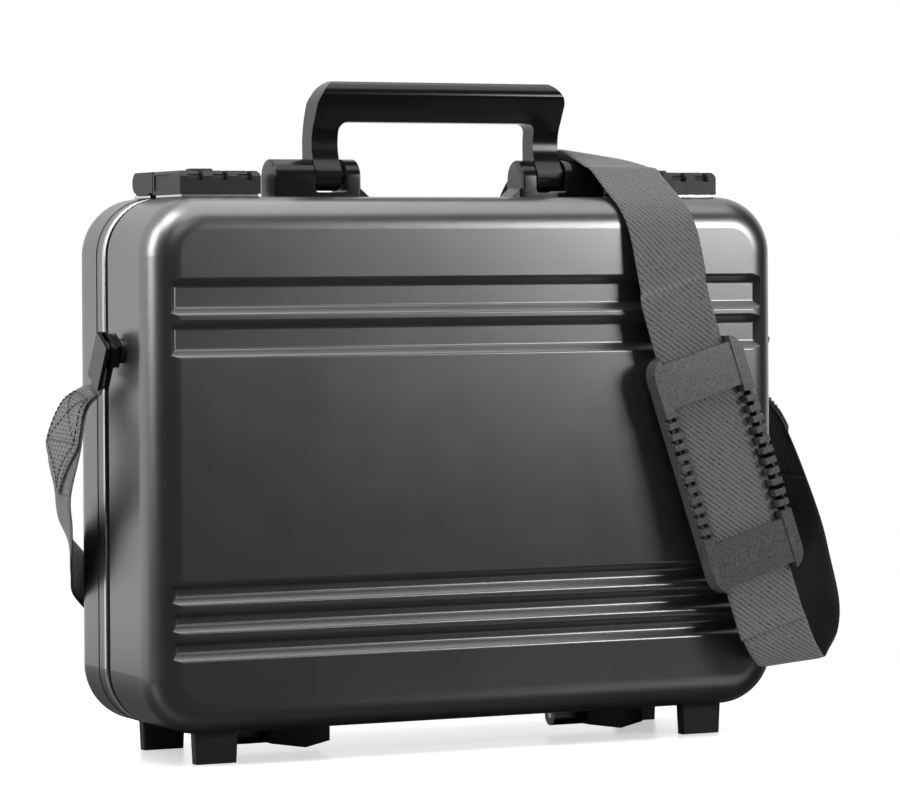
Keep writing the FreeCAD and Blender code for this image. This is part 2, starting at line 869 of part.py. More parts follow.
def slide_button(side):
    """Thumb slide: a ribbed cap over a neck that reaches the bolt."""
    cap_z = lock_top_z + slide_gap
    ys = (-slide_y - slide_half_depth, -slide_y + slide_half_depth)
    cap = block((lock_x(side, -slide_half_width), lock_x(side, slide_half_width)), ys,
                (cap_z, cap_z + slide_height))
    rim = edges_where(cap, lambda b: b.ZMin > cap_z + slide_height - running_gap)
    cap = cap.makeChamfer(slide_height / 3, rim)
    neck = block((lock_x(side, -neck_half_width), lock_x(side, neck_half_width)),
                 (-slide_y - bolt_half_depth, -slide_y + bolt_half_depth),
                 (plate_z + bolt_rise + bolt_height, cap_z + running_gap))
    return joined([cap, neck])


def wheel_offsets():
    """Offsets of the number wheels from a lock's middle."""
    middle = (wheel_count - 1) / 2
    return [(i - middle) * wheel_pitch for i in range(wheel_count)]


wheel_z = plate_z + wheel_rise


def number_wheel(side, offset):
    """Fluted number wheel with a bore for its spindle."""
    x0 = lock_x(side, offset) - wheel_width / 2
    wheel = x_rod(x0, x0 + wheel_width, -wheel_y, wheel_z, wheel_radius)
    rims = edges_where(wheel, lambda b: b.XMax - b.XMin < running_gap)
    wheel = wheel.makeChamfer(wheel_flute_radius, rims)
    cuts = [x_rod(x0 - overrun, x0 + wheel_width + overrun, -wheel_y, wheel_z,
                  spindle_radius + running_gap)]
    for i in range(wheel_flutes):
        turn = 2 * math.pi * i / wheel_flutes
        cuts.append(x_rod(x0 - overrun, x0 + wheel_width + overrun,
                          -wheel_y + wheel_radius * math.cos(turn),
                          wheel_z + wheel_radius * math.sin(turn), wheel_flute_radius))
    return wheel.cut(cuts)


def wheel_spindle(side):
    """Spindle through a lock's number wheels."""
    reach = lock_half_width - spindle_end
    return x_rod(lock_x(side, -reach), lock_x(side, reach), -wheel_y, wheel_z, spindle_radius)


def lock_housing(side):
    """Front part of a lock, on the base."""
    back = seam_back - lock_back_gap
    body = lock_block(side, -lock_half_width, lock_half_width, -lock_front, back)
    front_top = edges_where(body, lambda b: b.ZMin > lock_top_z - running_gap
                            and b.YMax < running_gap - lock_front)
    body = body.makeChamfer(lock_bevel, front_top)
    ends = edges_where(body, lambda b: b.ZMin > lock_top_z - running_gap
                       and b.XMax - b.XMin < running_gap)
    body = body.makeChamfer(lock_end_bevel, ends)
    cuts = []
    for offset in wheel_offsets():
        half = wheel_width / 2 + wheel_side_gap
        reach = wheel_radius + wheel_gap
        cuts.append(block((lock_x(side, offset - half), lock_x(side, offset + half)),
                          (-wheel_y - reach, -wheel_y + reach),
                          (plate_z - overrun, lock_top_z + overrun)))
        cuts.append(block((lock_x(side, offset - half), lock_x(side, offset + half)),
                          (-lock_front - overrun, -wheel_y),
                          (lock_top_z - wheel_window, lock_top_z + overrun)))
    cuts.append(wheel_spindle(side))
    hook_end = hook_inner + hook_width + hook_side_gap
    cuts.append(block((lock_x(side, hook_inner - hook_side_gap), lock_x(side, hook_end)),
                      (-hook_reach - hook_front_gap, back + overrun),
                      (plate_z + hook_rise - hook_side_gap, lock_top_z + overrun)))
    cuts.append(bolt_solid(side, bolt_clear, slide_travel + bolt_clear))
    neck_out = neck_half_width + slide_travel + bolt_clear
    cuts.append(block((lock_x(side, -neck_half_width - bolt_clear), lock_x(side, neck_out)),
                      (-slide_y - bolt_half_depth - bolt_clear, -slide_y + bolt_half_depth
                       + bolt_clear), (plate_z + bolt_rise, lock_top_z + overrun)))
    end = lock_half_width
    cuts.append(block((lock_x(side, end - panel_depth), lock_x(side, end + overrun)),
                      (back - panel_margin - panel_length, back - panel_margin),
                      (plate_z + panel_margin, lock_top_z - lock_end_bevel - panel_depth)))
    return body.cut(cuts)


hasp_front_y = seam_back + lock_back_gap
hasp_pivot_z = lock_top_z - hasp_round
hasp_bottom_z = hasp_pivot_z - hasp_round


def hasp_outline(x, front, half):
    """Wire of a block with a round back end about the hasp's pivot."""
    return chain([
        (V(x, front, hasp_pivot_z + half), V(x, front, hasp_pivot_z - half)),
        (V(x, front, hasp_pivot_z - half), V(x, hasp_pivot_y, hasp_pivot_z - half)),
        (V(x, hasp_pivot_y, hasp_pivot_z - half), V(x, hasp_pivot_y + half, hasp_pivot_z),
         V(x, hasp_pivot_y, hasp_pivot_z + half)),
        (V(x, hasp_pivot_y, hasp_pivot_z + half), V(x, front, hasp_pivot_z + half)),
    ])


def hasp(side):
    """Lifting rear part of a lock, with the hook that the bolt holds."""
    x0 = lock_x(side, -side * hasp_half_width)
    body = drawn(hasp_outline(x0, hasp_front_y, hasp_round), V(2 * hasp_half_width, 0, 0))
    z0 = plate_z + hook_rise
    xs = (lock_x(side, hook_inner), lock_x(side, hook_inner + hook_width))
    hook = block(xs, (-hook_reach, hasp_front_y + running_gap), (z0, z0 + hook_height))
    window = bolt_solid(side, bolt_clear, 2 * slide_travel)
    bore = x_rod(-case_width, case_width, hasp_pivot_y, hasp_pivot_z,
                 hasp_pin_radius + running_gap)
    return joined([body, hook]).cut([window, bore])


def hasp_bracket(side):
    """Two ears and their strip on the lid, which carry the hasp's pin."""
    shapes = []
    for a, b in ((-lock_half_width, -hasp_half_width - hasp_ear_gap),
                 (hasp_half_width + hasp_ear_gap, lock_half_width)):
        xs = sorted((lock_x(side, a), lock_x(side, b)))
        wire = hasp_outline(xs[0], hasp_front_y, hasp_round)
        ear = drawn(wire, V(xs[1] - xs[0], 0, 0))
        shapes.append(ear)
        shapes.append(block(xs, (lid_edge_y, hasp_pivot_y), (plate_z, hasp_pivot_z)))
    strip = block((lock_x(side, -lock_half_width), lock_x(side, lock_half_width)),
                  (hasp_pivot_y - hasp_round, hasp_pivot_y), (plate_z, plate_z + ear_strip))
    return joined(shapes + [strip]).cut(hasp_pin(side))


def hasp_pin(side):
    """Hinge pin of one hasp."""
    reach = lock_half_width - spindle_end
    return x_rod(lock_x(side, -reach), lock_x(side, reach), hasp_pivot_y, hasp_pivot_z,
                 hasp_pin_radius)


def lock_plate(side, y0, y1):
    """Bright plate under one part of a lock."""
    reach = lock_half_width - plate_inset
    return block((lock_x(side, -reach), lock_x(side, reach)), (y0, y1), (top_z, plate_z))


def detents(side):
    """Leaf springs under the number wheels of one lock."""
    leaves = []
    for offset in wheel_offsets():
        x = lock_x(side, offset)
        leaves.append(block((x - detent_width / 2, x + detent_width / 2),
                            (-wheel_y - detent_half_length, -wheel_y + detent_half_length),
                            (plate_z, plate_z + detent_thick)))
    return leaves


def anchor_stud():
    """Shouldered stud on the right side wall, with its flange, its nut and a head in the clip."""
    out_x = clip_x + clip_inner_thick + clip_gap
    flange = x_rod(half_width, half_width + anchor_flange_thick, -anchor_y, anchor_z,
                   anchor_flange_radius)
    shank = x_rod(inner_half - anchor_nut_thick, out_x, -anchor_y, anchor_z, anchor_stud_radius)
    nut = x_rod(inner_half - anchor_nut_thick, inner_half, -anchor_y, anchor_z, anchor_nut_radius)
    head = x_rod(out_x, out_x + stud_head_thick, -anchor_y, anchor_z, stud_head_radius)
    return joined([flange, shank, nut, head])


def anchor_clip():
    """Swivel clip on the right stud: a layered hub, and two plates with the strap between them."""
    hub_x = half_width + anchor_flange_thick + clip_gap
    layer = (clip_x - hub_x) / hub_layers
    mouth_x = clip_x + clip_inner_thick
    outer_x = mouth_x + clip_mouth
    end_x = outer_x + clip_outer_thick
    ys = (-clip_half_width, clip_half_width)
    zs = (-clip_length, clip_top)
    parts = [
        x_rod(hub_x, clip_x + running_gap, 0, 0, hub_core_radius),
        block((clip_x, mouth_x), ys, zs),
        block((outer_x, end_x), ys, zs),
        block((clip_x, end_x), (clip_half_width - clip_web, clip_half_width), zs),
    ]
    for i in range(hub_layers):
        x = hub_x + i * layer
        parts.append(block((x, x + layer - hub_groove), (-hub_half_width, hub_half_width),
                           (-hub_half_width, clip_top)))
    clip = joined(parts)
    corners = edges_where(clip, lambda b: b.XMax > end_x - running_gap and b.YMax - b.YMin < running_gap
                          and b.ZMax - b.ZMin < running_gap and b.XMin > outer_x - running_gap)
    clip = clip.makeFillet(clip_corner, corners)
    clip = clip.cut(x_rod(half_width, mouth_x, 0, 0, anchor_stud_radius + running_gap))
    clip.rotate(V(0, 0, 0), V(1, 0, 0), clip_lean)
    clip.translate(V(0, -anchor_y, anchor_z))
    return clip


def pad_placement():
    """Where the shoulder pad's own frame lies: X across it, Z up along it, Y to the case."""
    lean = FreeCAD.Rotation(V(0, 1, 0), pad_lean)
    tilt = FreeCAD.Rotation(V(1, 0, 0), pad_tilt)
    centre = V(pad_x, front_y - pad_stand, bottom_z + pad_rise)
    return FreeCAD.Placement(centre, lean.multiply(tilt))


def pad_plate(half, length, corner, y0, y1):
    """Round-cornered plate in the pad's frame."""
    plate = block((-half, half), (y0, y1), (-length / 2, length / 2))
    corners = edges_where(plate, lambda b: b.XMax - b.XMin < running_gap
                          and b.ZMax - b.ZMin < running_gap)
    return plate.makeFillet(corner, corners)


def pad_frame():
    """Moulded pad: two ribbed rails, a floor, and two bars over the strap."""
    half = pad_half_width
    body = pad_plate(half, pad_length, pad_corner, -pad_front, pad_back)
    inner = half - pad_rail
    deep = strap_thick / 2 + pad_channel_gap
    channel_cut = block((-inner, inner), (-deep, deep), (-pad_length, pad_length))
    bar_top = pad_length / 2 - pad_bar_edge
    window = block((-inner, inner), (-pad_front - overrun, deep),
                   (-bar_top + pad_bar_height, bar_top - pad_bar_height))
    cuts = [channel_cut, window]
    for end in (-1, 1):
        cuts.append(block((-inner, inner), (-pad_front - overrun, deep),
                          (end * bar_top, end * pad_length)))
        cuts.append(block((-inner, inner), (-pad_front - overrun, -deep - pad_bar_thick),
                          (end * bar_top, end * (bar_top - pad_bar_height))))
    middle = (pad_rib_count - 1) / 2
    for side in (-1, 1):
        for i in range(pad_rib_count):
            z = (i - middle) * pad_rib_pitch
            cuts.append(block((side * (inner - overrun), side * (half - pad_rib_wall)),
                              (-pad_front - overrun, pad_back - pad_floor_thick),
                              (z - pad_rib_gap / 2, z + pad_rib_gap / 2)))
    frame = body.cut(cuts)
    frame.Placement = pad_placement()
    return frame


def pad_cushion():
    """Soft backing of the shoulder pad, crowned towards the case."""
    cushion = pad_plate(pad_half_width - pad_cushion_inset, pad_length - 2 * pad_cushion_inset,
                        pad_corner - pad_cushion_inset, pad_back, pad_back + pad_cushion_thick)
    rim = edges_where(cushion, lambda b: b.YMin > pad_back + pad_cushion_thick - running_gap)
    cushion = cushion.makeFillet(pad_cushion_round, rim)
    cushion.Placement = pad_placement()
    return cushion


# Strap stations: a centre in shares of a scale, then the direction and share of the width.
# The ends hang from their clips, in shares of the anchors' rise.
left_end_shares = [
    ((-0.5328, 0.171, 0.8507), (0.0, 1.0, 0.10), 0.80),
    ((-0.5536, 0.154, 0.7362), (-0.06, 1.0, 0.04), 1.0),
    ((-0.5521, 0.193, 0.6217), (0.12, 0.98, 0.08), 0.90),
]
right_end_shares = [
    ((0.5600, -0.060, 0.7157), (-0.04, 1.0, -0.05), 1.08),
    ((0.5560, 0.007, 0.7996), (0.0, 1.0, 0.10), 1.02),
    ((0.5420, 0.020, 0.8550), (0.0, 1.0, 0.25), 0.80),
]
# The runs behind the case, down its front and round the loop, in shares of the case
rear_run_shares = [
    ((-0.5339, 0.311, 0.3776), (0.17, 0.98, 0.10), 0.90),
    ((-0.5066, 0.425, 0.3061), (0.45, 0.85, 0.27), 1.0),
    ((-0.4770, 0.571, 0.2697), (0.50, 0.72, 0.48), 1.0),
    ((-0.4230, 0.645, 0.2420), (0.20, 0.30, 0.93), 1.0),
    ((-0.3282, 0.671, 0.2274), (0.0, 0.03, 1.0), 1.0),
    ((-0.1500, 0.700, 0.2500), (-0.35, 0.0, 0.94), 1.0),
    ((0.0000, 0.700, 0.3700), (-0.60, 0.0, 0.80), 1.0),
    ((0.1200, 0.695, 0.5500), (-0.80, 0.0, 0.60), 1.0),
    ((0.1950, 0.680, 0.7400), (-0.92, 0.0, 0.38), 1.0),
    ((0.2400, 0.640, 0.9000), (-0.97, 0.05, 0.22), 1.0),
    ((0.2640, 0.540, 1.0200), (-0.98, 0.10, 0.15), 1.02),
]
front_run_shares = [
    ((0.2823, -0.414, 1.0102), (-1.0, 0.0, -0.02), 1.0),
    ((0.2899, -0.493, 0.9781), (-1.0, 0.0, -0.03), 1.0),
    ((0.2980, -0.545, 0.9300), (-1.0, 0.0, -0.05), 1.0),
    ((0.3070, -0.580, 0.8400), (-0.967, 0.0, -0.25), 1.0),
]
loop_shares = [
    ((0.4530, -0.672, 0.1680), (-0.965, 0.0, -0.26), 1.0),
    ((0.4690, -0.668, 0.1230), (-0.97, 0.0, -0.22), 0.97),
    ((0.4870, -0.645, 0.0940), (-0.985, 0.05, -0.15), 0.94),
    ((0.5020, -0.595, 0.0870), (-0.99, 0.10, -0.08), 0.92),
    ((0.5150, -0.555, 0.1020), (-0.98, 0.22, -0.04), 0.90),
    ((0.5250, -0.575, 0.1450), (-0.93, 0.38, 0.0), 0.90),
    ((0.5340, -0.545, 0.2080), (-0.72, 0.69, 0.05), 0.90),
    ((0.5440, -0.425, 0.2960), (-0.50, 0.86, 0.08), 0.94),
    ((0.5540, -0.330, 0.3600), (-0.28, 0.96, 0.05), 0.98),
    ((0.5580, -0.200, 0.4450), (-0.12, 1.0, 0.02), 1.0),
]
# The crest over the right lock, in shares of the lock's place, its front and the crest's rise
rear_crest_shares = [
    ((0.7680, 1.225, 0.894), (-0.99, 0.10, 0.13), 1.05),
    ((0.7750, 0.588, 0.990), (-0.99, 0.05, 0.14), 1.06),
    ((0.7560, 0.074, 0.944), (-0.98, 0.05, 0.14), 1.04),
    ((0.7500, -0.368, 0.828), (-0.99, 0.05, 0.09), 1.02),
]
front_crest_shares = [
    ((0.7500, -0.760, 0.680), (-1.0, 0.02, 0.03), 1.0),
    ((0.7530, -0.919, 0.636), (-1.0, 0.0, 0.0), 1.0),
    ((0.7590, -1.127, 0.425), (-1.0, 0.0, 0.0), 1.0),
]
case_scale = V(case_width, case_depth, case_height)
anchor_scale = V(case_width, case_depth, anchor_rise)
crest_scale = V(lock_centre, lock_front, strap_crest)


def stations_from(table, scale, start_z):
    """Left and right edge points of the strap from a table of shares of a scale."""
    stations = []
    for (x, y, z), way, width_share in table:
        centre = V(x * scale.x, y * scale.y, start_z + z * scale.z)
        half = V(*way).normalize() * (strap_width * width_share / 2)
        stations.append((centre + half, centre - half))
    return stations


def tab_stations(side):
    """The strap's end between one clip's plates, from its inner end to below the clip."""
    lean = math.radians(clip_lean)
    across = V(0, math.cos(lean), math.sin(lean))
    along = V(0, math.sin(lean), -math.cos(lean))
    half = across * strap_tab_half_width
    start = V(side * (clip_x + clip_inner_thick + clip_mouth / 2), -anchor_y, anchor_z)
    start -= across * (clip_web / 2)
    centres = [start + along * reach for reach in (strap_tab_start, strap_tab_end)]
    return [(centre + half, centre - half) for centre in centres]


def pad_stations():
    """Straight stretch of the strap through the pad and its travel."""
    place = pad_placement()
    reach = pad_length / 2 + pad_travel + overrun
    half = strap_width / 2
    return [(place.multVec(V(-half, 0, z)), place.multVec(V(half, 0, z))) for z in (reach, -reach)]


def strap_sections(stations):
    """A flat rectangle at each station, square to the strap's own direction."""
    middles = [(left + right) * 0.5 for left, right in stations]
    sections = []
    last = len(stations) - 1
    for i, (left, right) in enumerate(stations):
        ahead = middles[min(i + 1, last)] - middles[max(i - 1, 0)]
        normal = ahead.cross(left - right).normalize() * (strap_thick / 2)
        sections.append(polygon([left + normal, right + normal, right - normal, left - normal]))
    return sections


def strap_pieces():
    """The strap, cut at named places into its nodes."""
    runs = [
        tab_stations(-1) + stations_from(left_end_shares, anchor_scale, bottom_z),
        stations_from(rear_run_shares, case_scale, bottom_z)
        + stations_from(rear_crest_shares, crest_scale, top_z),
        stations_from(front_crest_shares, crest_scale, top_z)
        + stations_from(front_run_shares, case_scale, bottom_z) + pad_stations()
        + stations_from(loop_shares, case_scale, bottom_z),
        stations_from(right_end_shares, anchor_scale, bottom_z) + tab_stations(1)[::-1],
    ]
    stations = []
    marks = [0]
    for run in runs:
        stations += run
        marks.append(len(stations) - 1)
    sections = strap_sections(stations)
    pieces = []
    for start, end in zip(marks, marks[1:]):
        pieces.append(Part.makeLoft(sections[start:end + 1], True, True))
    return pieces


def both(shape):
    """A right-hand piece and its mirror image, as the solids of one node."""
    return [mirrored(shape), shape]


def export(nodes):
    """One STEP file per node."""
    os.makedirs("parts", exist_ok=True)
    for name, shapes in nodes.items():
        solids = [solid for shape in shapes for solid in shape.Solids]
        for solid in solids:
            if not solid.isValid() or solid.Volume <= 0:
                print("check", name, solid.isValid(), solid.Volume)
        whole = solids[0] if len(solids) == 1 else Part.makeCompound(solids)
        whole.exportStep("parts/" + name + ".step")
        b = whole.BoundBox
        print(name, len(solids), "x", round(b.XMin, 1), round(b.XMax, 1), "y", round(b.YMin, 1),
              round(b.YMax, 1), "z", round(b.ZMin, 1), round(b.ZMax, 1))


def build():
    """All nodes of the case."""
    nodes = {}
    screws = []
    for screw in bracket_screws():
        screws += both(screw)
    front_foot_screws = both(foot_screw(front_foot_y))
    rear_foot_screws = both(foot_screw(rear_foot_y))
    studs = both(anchor_stud())
    front_studs = both(stay_stud(stay_y["front"], outer_arm_x))
    rear_studs = both(stay_stud(stay_y["rear"], inner_arm_x))
    base_rivets = []
    lid_rivets = []
    for start in hinge_starts:
        base_rivets += [hinge_rivet(x, y) for x, y in rivet_places(start, -1)]
        lid_rivets += [hinge_rivet(x, y) for x, y in rivet_places(start, 1)]

    base_fasteners = screws + front_foot_screws + studs + base_rivets
    nodes["front_shell"] = [pressed_shell(base_edge_y - front_y).cut(base_fasteners)]
    nodes["front_rim"] = [front_rim().cut(base_fasteners + front_studs)]
    nodes["rim_gasket"] = [rim_gasket()]
    liner_holes = base_fasteners + front_studs
    nodes["front_liner"] = [liner(liner_front_y, tongue_front_y - liner_gap).cut(liner_holes)]
    nodes["laptop_cradle"] = laptop_cradle()
    halves, buckle = laptop_belt()
    nodes["laptop_belt"] = [half.cut(buckle) for half in halves]
    nodes["belt_buckle"] = [buckle]
    nodes["front_feet"] = both(foot(front_foot_y))
    nodes["front_foot_screws"] = front_foot_screws
    bracket = handle_bracket().cut(screws)
    nodes["handle_brackets"] = both(bracket)
    nodes["handle_pins"] = both(handle_pin())
    nodes["bracket_screws"] = screws
    nodes["hinge_pins"] = [hinge_pin(start) for start in hinge_starts]
    nodes["hinge_blocks"] = [hinge_block(start) for start in hinge_starts]
    nodes["base_hinge_rivets"] = base_rivets
    nodes["lid_hinge_rivets"] = lid_rivets
    nodes["base_hinge_leaves"] = [hinge_leaf(start, -1) for start in hinge_starts]
    nodes["lid_hinge_leaves"] = [hinge_leaf(start, 1) for start in hinge_starts]
    nodes["front_stay_studs"] = front_studs
    nodes["anchor_studs"] = studs
    lock_plates = []
    lid_plates = []
    for name, side in (("left", -1), ("right", 1)):
        lock_plates.append(lock_plate(side, -lock_front + plate_inset, base_edge_y))
        lid_plates.append(lock_plate(side, lid_edge_y, hasp_pivot_y + hasp_round))
        nodes[name + "_slide_and_bolt"] = [slide_button(side), bolt_solid(side, 0, 0)]
        nodes[name + "_hasp"] = [hasp(side)]
        for number, offset in enumerate(wheel_offsets(), 1):
            nodes[name + "_wheel_" + str(number)] = [number_wheel(side, offset)]
    nodes["lock_housings"] = [lock_housing(-1), lock_housing(1)]
    nodes["hasp_brackets"] = [hasp_bracket(-1), hasp_bracket(1)]
    nodes["lock_plates"] = lock_plates
    nodes["hasp_plates"] = lid_plates
    nodes["wheel_spindles"] = [wheel_spindle(-1), wheel_spindle(1)]
    nodes["wheel_detents"] = detents(-1) + detents(1)
    nodes["hasp_pins"] = [hasp_pin(-1), hasp_pin(1)]

    rear = turned(pressed_shell(back_y - lid_edge_y))
    step = case_ring(-overrun, band_step, lid_edge_y, flange_back_y)
    nodes["rear_shell"] = [rear.cut([step] + rear_foot_screws + lid_rivets)]
    nodes["rear_rim"] = [rear_rim().cut(rear_studs)]
    rear_liner = turned(liner(-liner_back_y, -flange_back_y - liner_gap))
    nodes["rear_liner"] = [rear_liner.cut(rear_foot_screws + lid_rivets + rear_studs)]
    nodes["organiser_panel"] = [organiser_panel()]
    nodes["document_pocket"] = [pocket(0, pocket_half_width, pocket_front_y, organiser_front_y,
                                       organiser_z0, pocket_height)]
    nodes["card_pockets"] = card_pockets()
    nodes["rear_feet"] = both(foot(rear_foot_y))
    nodes["rear_foot_screws"] = rear_foot_screws
    nodes["rear_stay_studs"] = rear_studs

    outer_arm = stay_arm(stay_y["front"], stay_pin_z, elbow_y, elbow_z, outer_arm_x)
    inner_arm = stay_arm(stay_y["rear"], stay_pin_z, elbow_y, elbow_z, inner_arm_x)
    nodes["left_stay_front_arm"] = [mirrored(outer_arm), mirrored(elbow_rivet())]
    nodes["right_stay_front_arm"] = [outer_arm, elbow_rivet()]
    nodes["left_stay_rear_arm"] = [mirrored(inner_arm)]
    nodes["right_stay_rear_arm"] = [inner_arm]

    nodes["handle"] = [handle()]
    nodes["left_anchor_clip"] = [mirrored(anchor_clip())]
    nodes["right_anchor_clip"] = [anchor_clip()]
    nodes["pad_frame"] = [pad_frame()]
    nodes["pad_cushion"] = [pad_cushion()]
    names = ("strap_left_end", "strap_rear_run", "strap_front_run", "strap_right_end")
    for name, piece in zip(names, strap_pieces()):
        nodes[name] = [piece]
    return nodes


export(build())
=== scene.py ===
import bmesh
import bpy
import json
import math
from mathutils import Matrix, Vector, noise

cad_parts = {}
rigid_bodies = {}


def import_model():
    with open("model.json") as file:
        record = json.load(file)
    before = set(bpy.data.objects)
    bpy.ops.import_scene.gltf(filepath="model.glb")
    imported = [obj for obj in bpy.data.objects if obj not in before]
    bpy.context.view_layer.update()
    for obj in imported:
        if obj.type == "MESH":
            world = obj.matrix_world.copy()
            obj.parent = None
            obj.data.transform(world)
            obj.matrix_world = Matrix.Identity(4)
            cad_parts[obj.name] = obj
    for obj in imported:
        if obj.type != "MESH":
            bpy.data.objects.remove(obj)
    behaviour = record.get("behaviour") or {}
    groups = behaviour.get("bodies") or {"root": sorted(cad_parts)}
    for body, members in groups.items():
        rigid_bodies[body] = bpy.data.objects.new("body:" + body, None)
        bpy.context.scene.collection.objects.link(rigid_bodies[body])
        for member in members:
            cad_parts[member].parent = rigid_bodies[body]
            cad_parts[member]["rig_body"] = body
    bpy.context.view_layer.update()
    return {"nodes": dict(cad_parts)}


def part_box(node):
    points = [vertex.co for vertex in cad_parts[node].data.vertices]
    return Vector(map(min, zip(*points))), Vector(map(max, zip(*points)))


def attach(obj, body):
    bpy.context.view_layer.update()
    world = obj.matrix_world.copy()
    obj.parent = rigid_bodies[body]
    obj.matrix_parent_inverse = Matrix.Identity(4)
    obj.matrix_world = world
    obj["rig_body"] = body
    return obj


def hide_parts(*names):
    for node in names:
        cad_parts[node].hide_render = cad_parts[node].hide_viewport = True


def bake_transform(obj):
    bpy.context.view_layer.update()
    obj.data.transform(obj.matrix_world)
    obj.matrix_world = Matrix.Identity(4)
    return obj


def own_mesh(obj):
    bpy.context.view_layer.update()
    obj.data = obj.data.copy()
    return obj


# Laptop hard case: looks of every piece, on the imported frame. All lengths are in metres.
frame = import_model()
nodes = frame["nodes"]

# Case sizes, read from the frame
base_low, base_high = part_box("front_shell")
lid_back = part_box("rear_shell")[1].y
case_width = base_high.x - base_low.x
case_height = base_high.z - base_low.z
case_depth = lid_back - base_low.y
bottom_z = base_low.z
top_z = base_high.z
front_y = base_low.y

# Photograph
photo_width = 900.0
photo_height = 800.0
eye = Vector((-1.17377, -2.48185, 0.31652))
eye_yaw = 0.446534
eye_roll = 0.006786
focal_pixels = 4101.65
horizon_pixel = 267.64
sensor_mm = 36.0
near_clip = 0.1

# Strap
strap_width = 0.051
strap_thick = 0.0022
strap_steps = 10
strap_across = 12
strap_edge_power = 10
strap_edge_thinning_share = 0.75
anchor_y = 0.018
anchor_rise = 0.2445
lock_centre = 0.168
lock_front = 0.0408
strap_crest = 0.0302
clip_lean = math.radians(31.5)
strap_tab_stand = 0.0108
strap_tab_shift = 0.001
strap_tab_start = 0.009
strap_tab_end = 0.026
strap_tab_half_width = 0.0074
side_names = {-1: "left", 1: "right"}

# Stretch of the strap's ends by a clip's turn
bend_start_x = 0.24
bend_start_z = 0.235
bend_end_x = 0.25
bend_end_z = {-1: 0.18, 1: 0.195}

# Doubled ends of the strap and their stitching
tail_start_step = 2
tail_lift = 0.0025
tail_shoulder_share = 0.58
tail_tip_share = 0.06
stitch_pitch = 0.0036
stitch_share = 0.66
stitch_radius = 0.00035
stitch_near_share = 0.12
stitch_tip_share = 0.95
stitch_wide_share = 0.84

# Shoulder pad
pad_centre_drop = 0.0195
pad_rise = 0.164
pad_x = 0.1735
pad_lean = math.radians(-16.9)
pad_tilt = math.radians(-2.8)
pad_length = 0.165
pad_half_width = 0.035
pad_travel = 0.012
pad_overrun = 0.003
pad_front = 0.008
pad_notch_floor = -0.0035
pad_rib_count = 12
pad_rib_pitch = 0.0074
pad_rib_gap = 0.0032
pad_rib_wall = 0.0022

# Softened edges of hard pieces
fine_edge = 0.0004
plain_edge = 0.0008
wheel_edge = 0.0002
edge_segments = 3
edge_angle = math.radians(28)
flat_angle = math.radians(0.6)
weld_distance = 0.00001

# Soft pieces: the size of their faces, and how far and how often their points wander
liner_cell = 0.0025
panel_cell = 0.0016
belt_cell = 0.0012
cradle_cell = 0.004
flat_wave = 0.0001
plain_wave = 0.0002
cradle_wave = 0.0004
waves_per_metre = 45.0
ripples_per_metre = 110.0
ripple_share = 0.5
relax_share = 0.5
relax_rounds = 3

# Material values that several finishes share
mottle_low = 0.3
mottle_high = 0.7
fuzz_scale = 1100.0
fuzz_share = 1.4
# Webbing tone from the weave's height and fuzz: painted shade in the grooves, painted light on the
# ridges, random tone from the fuzz
weave_low = 0.55
weave_high = 1.6
groove_painted_shade_share = 0.1
ridge_painted_light_share = 2.4
# Share of the webbing's tone kept on its inner face: painted shade
inner_painted_shade_share = 0.15
lining_dark_share = 0.75
lining_light_share = 1.3
# Scale at which a wave texture has one band per metre
wave_unit = math.pi / 10.0

# Floor, backdrop and lamps
floor_sides = 96
floor_radius = 0.62
floor_fade_start = 0.40
floor_fade_end = 0.60
floor_level = 0.86
# Floor tone that glossy rays see: a painted dark reflection
floor_painted_dark_reflection = 0.02
floor_lift = 0.5
ambient = 0.2
room_dark = 0.015
backdrop_start = 0.0
backdrop_end = 0.5
# Each lamp's name, centre, the point that it faces, width, height and power in watts
lamps = [
    ("key_lamp", (0.75, -0.95, 0.55), (0.1, 0.0, 0.3), 0.42, 0.30, 5.5),
    ("corner_lamp", (-0.78, -0.28, 1.4), (-0.2, 0.0, 0.3), 0.6, 0.6, 8.0),
    ("top_lamp", (0.1, -0.25, 1.5), (0.0, 0.0, 0.3), 1.6, 1.4, 13.0),
    ("front_lamp", (-0.3, -1.6, 1.2), (0.0, 0.0, 0.25), 0.8, 0.4, 1.5),
    ("left_lamp", (-1.2, -0.1, 0.75), (-0.2, 0.0, 0.3), 0.4, 0.9, 9.0),
]


def grey(level):
    """A grey colour."""
    return (level, level, level)


def shader(name, level, metallic, roughness):
    """A grey material with one Principled shader, and the parts of its node tree."""
    made = bpy.data.materials.new(name)
    made.use_nodes = True
    tree = made.node_tree
    surface = tree.nodes["Principled BSDF"]
    surface.inputs["Base Color"].default_value = (*grey(level), 1.0)
    surface.inputs["Metallic"].default_value = metallic
    surface.inputs["Roughness"].default_value = roughness
    return made, tree, surface


def node(tree, kind, **values):
    """A node whose named inputs are set."""
    made = tree.nodes.new(kind)
    for name, value in values.items():
        made.inputs[name.replace("_", " ")].default_value = value
    return made


def place_of(tree):
    """The point in the piece's own frame, in metres."""
    return tree.nodes.new("ShaderNodeTexCoord").outputs["Object"]


def ramp(tree, source, low, high, dark, light):
    """A grey that goes from dark to light as the source goes from low to high."""
    made = tree.nodes.new("ShaderNodeValToRGB")
    made.color_ramp.elements[0].position = low
    made.color_ramp.elements[1].position = high
    made.color_ramp.elements[0].color = (*grey(dark), 1.0)
    made.color_ramp.elements[1].color = (*grey(light), 1.0)
    tree.links.new(source, made.inputs["Fac"])
    return made.outputs["Color"]


def eased(tree, source, start, end, low, high):
    """A number that eases from low to high as the source goes from start to end."""
    made = node(tree, "ShaderNodeMapRange", From_Min=start, From_Max=end, To_Min=low, To_Max=high)
    made.interpolation_type = "SMOOTHSTEP"
    tree.links.new(source, made.inputs["Value"])
    return made.outputs["Result"]


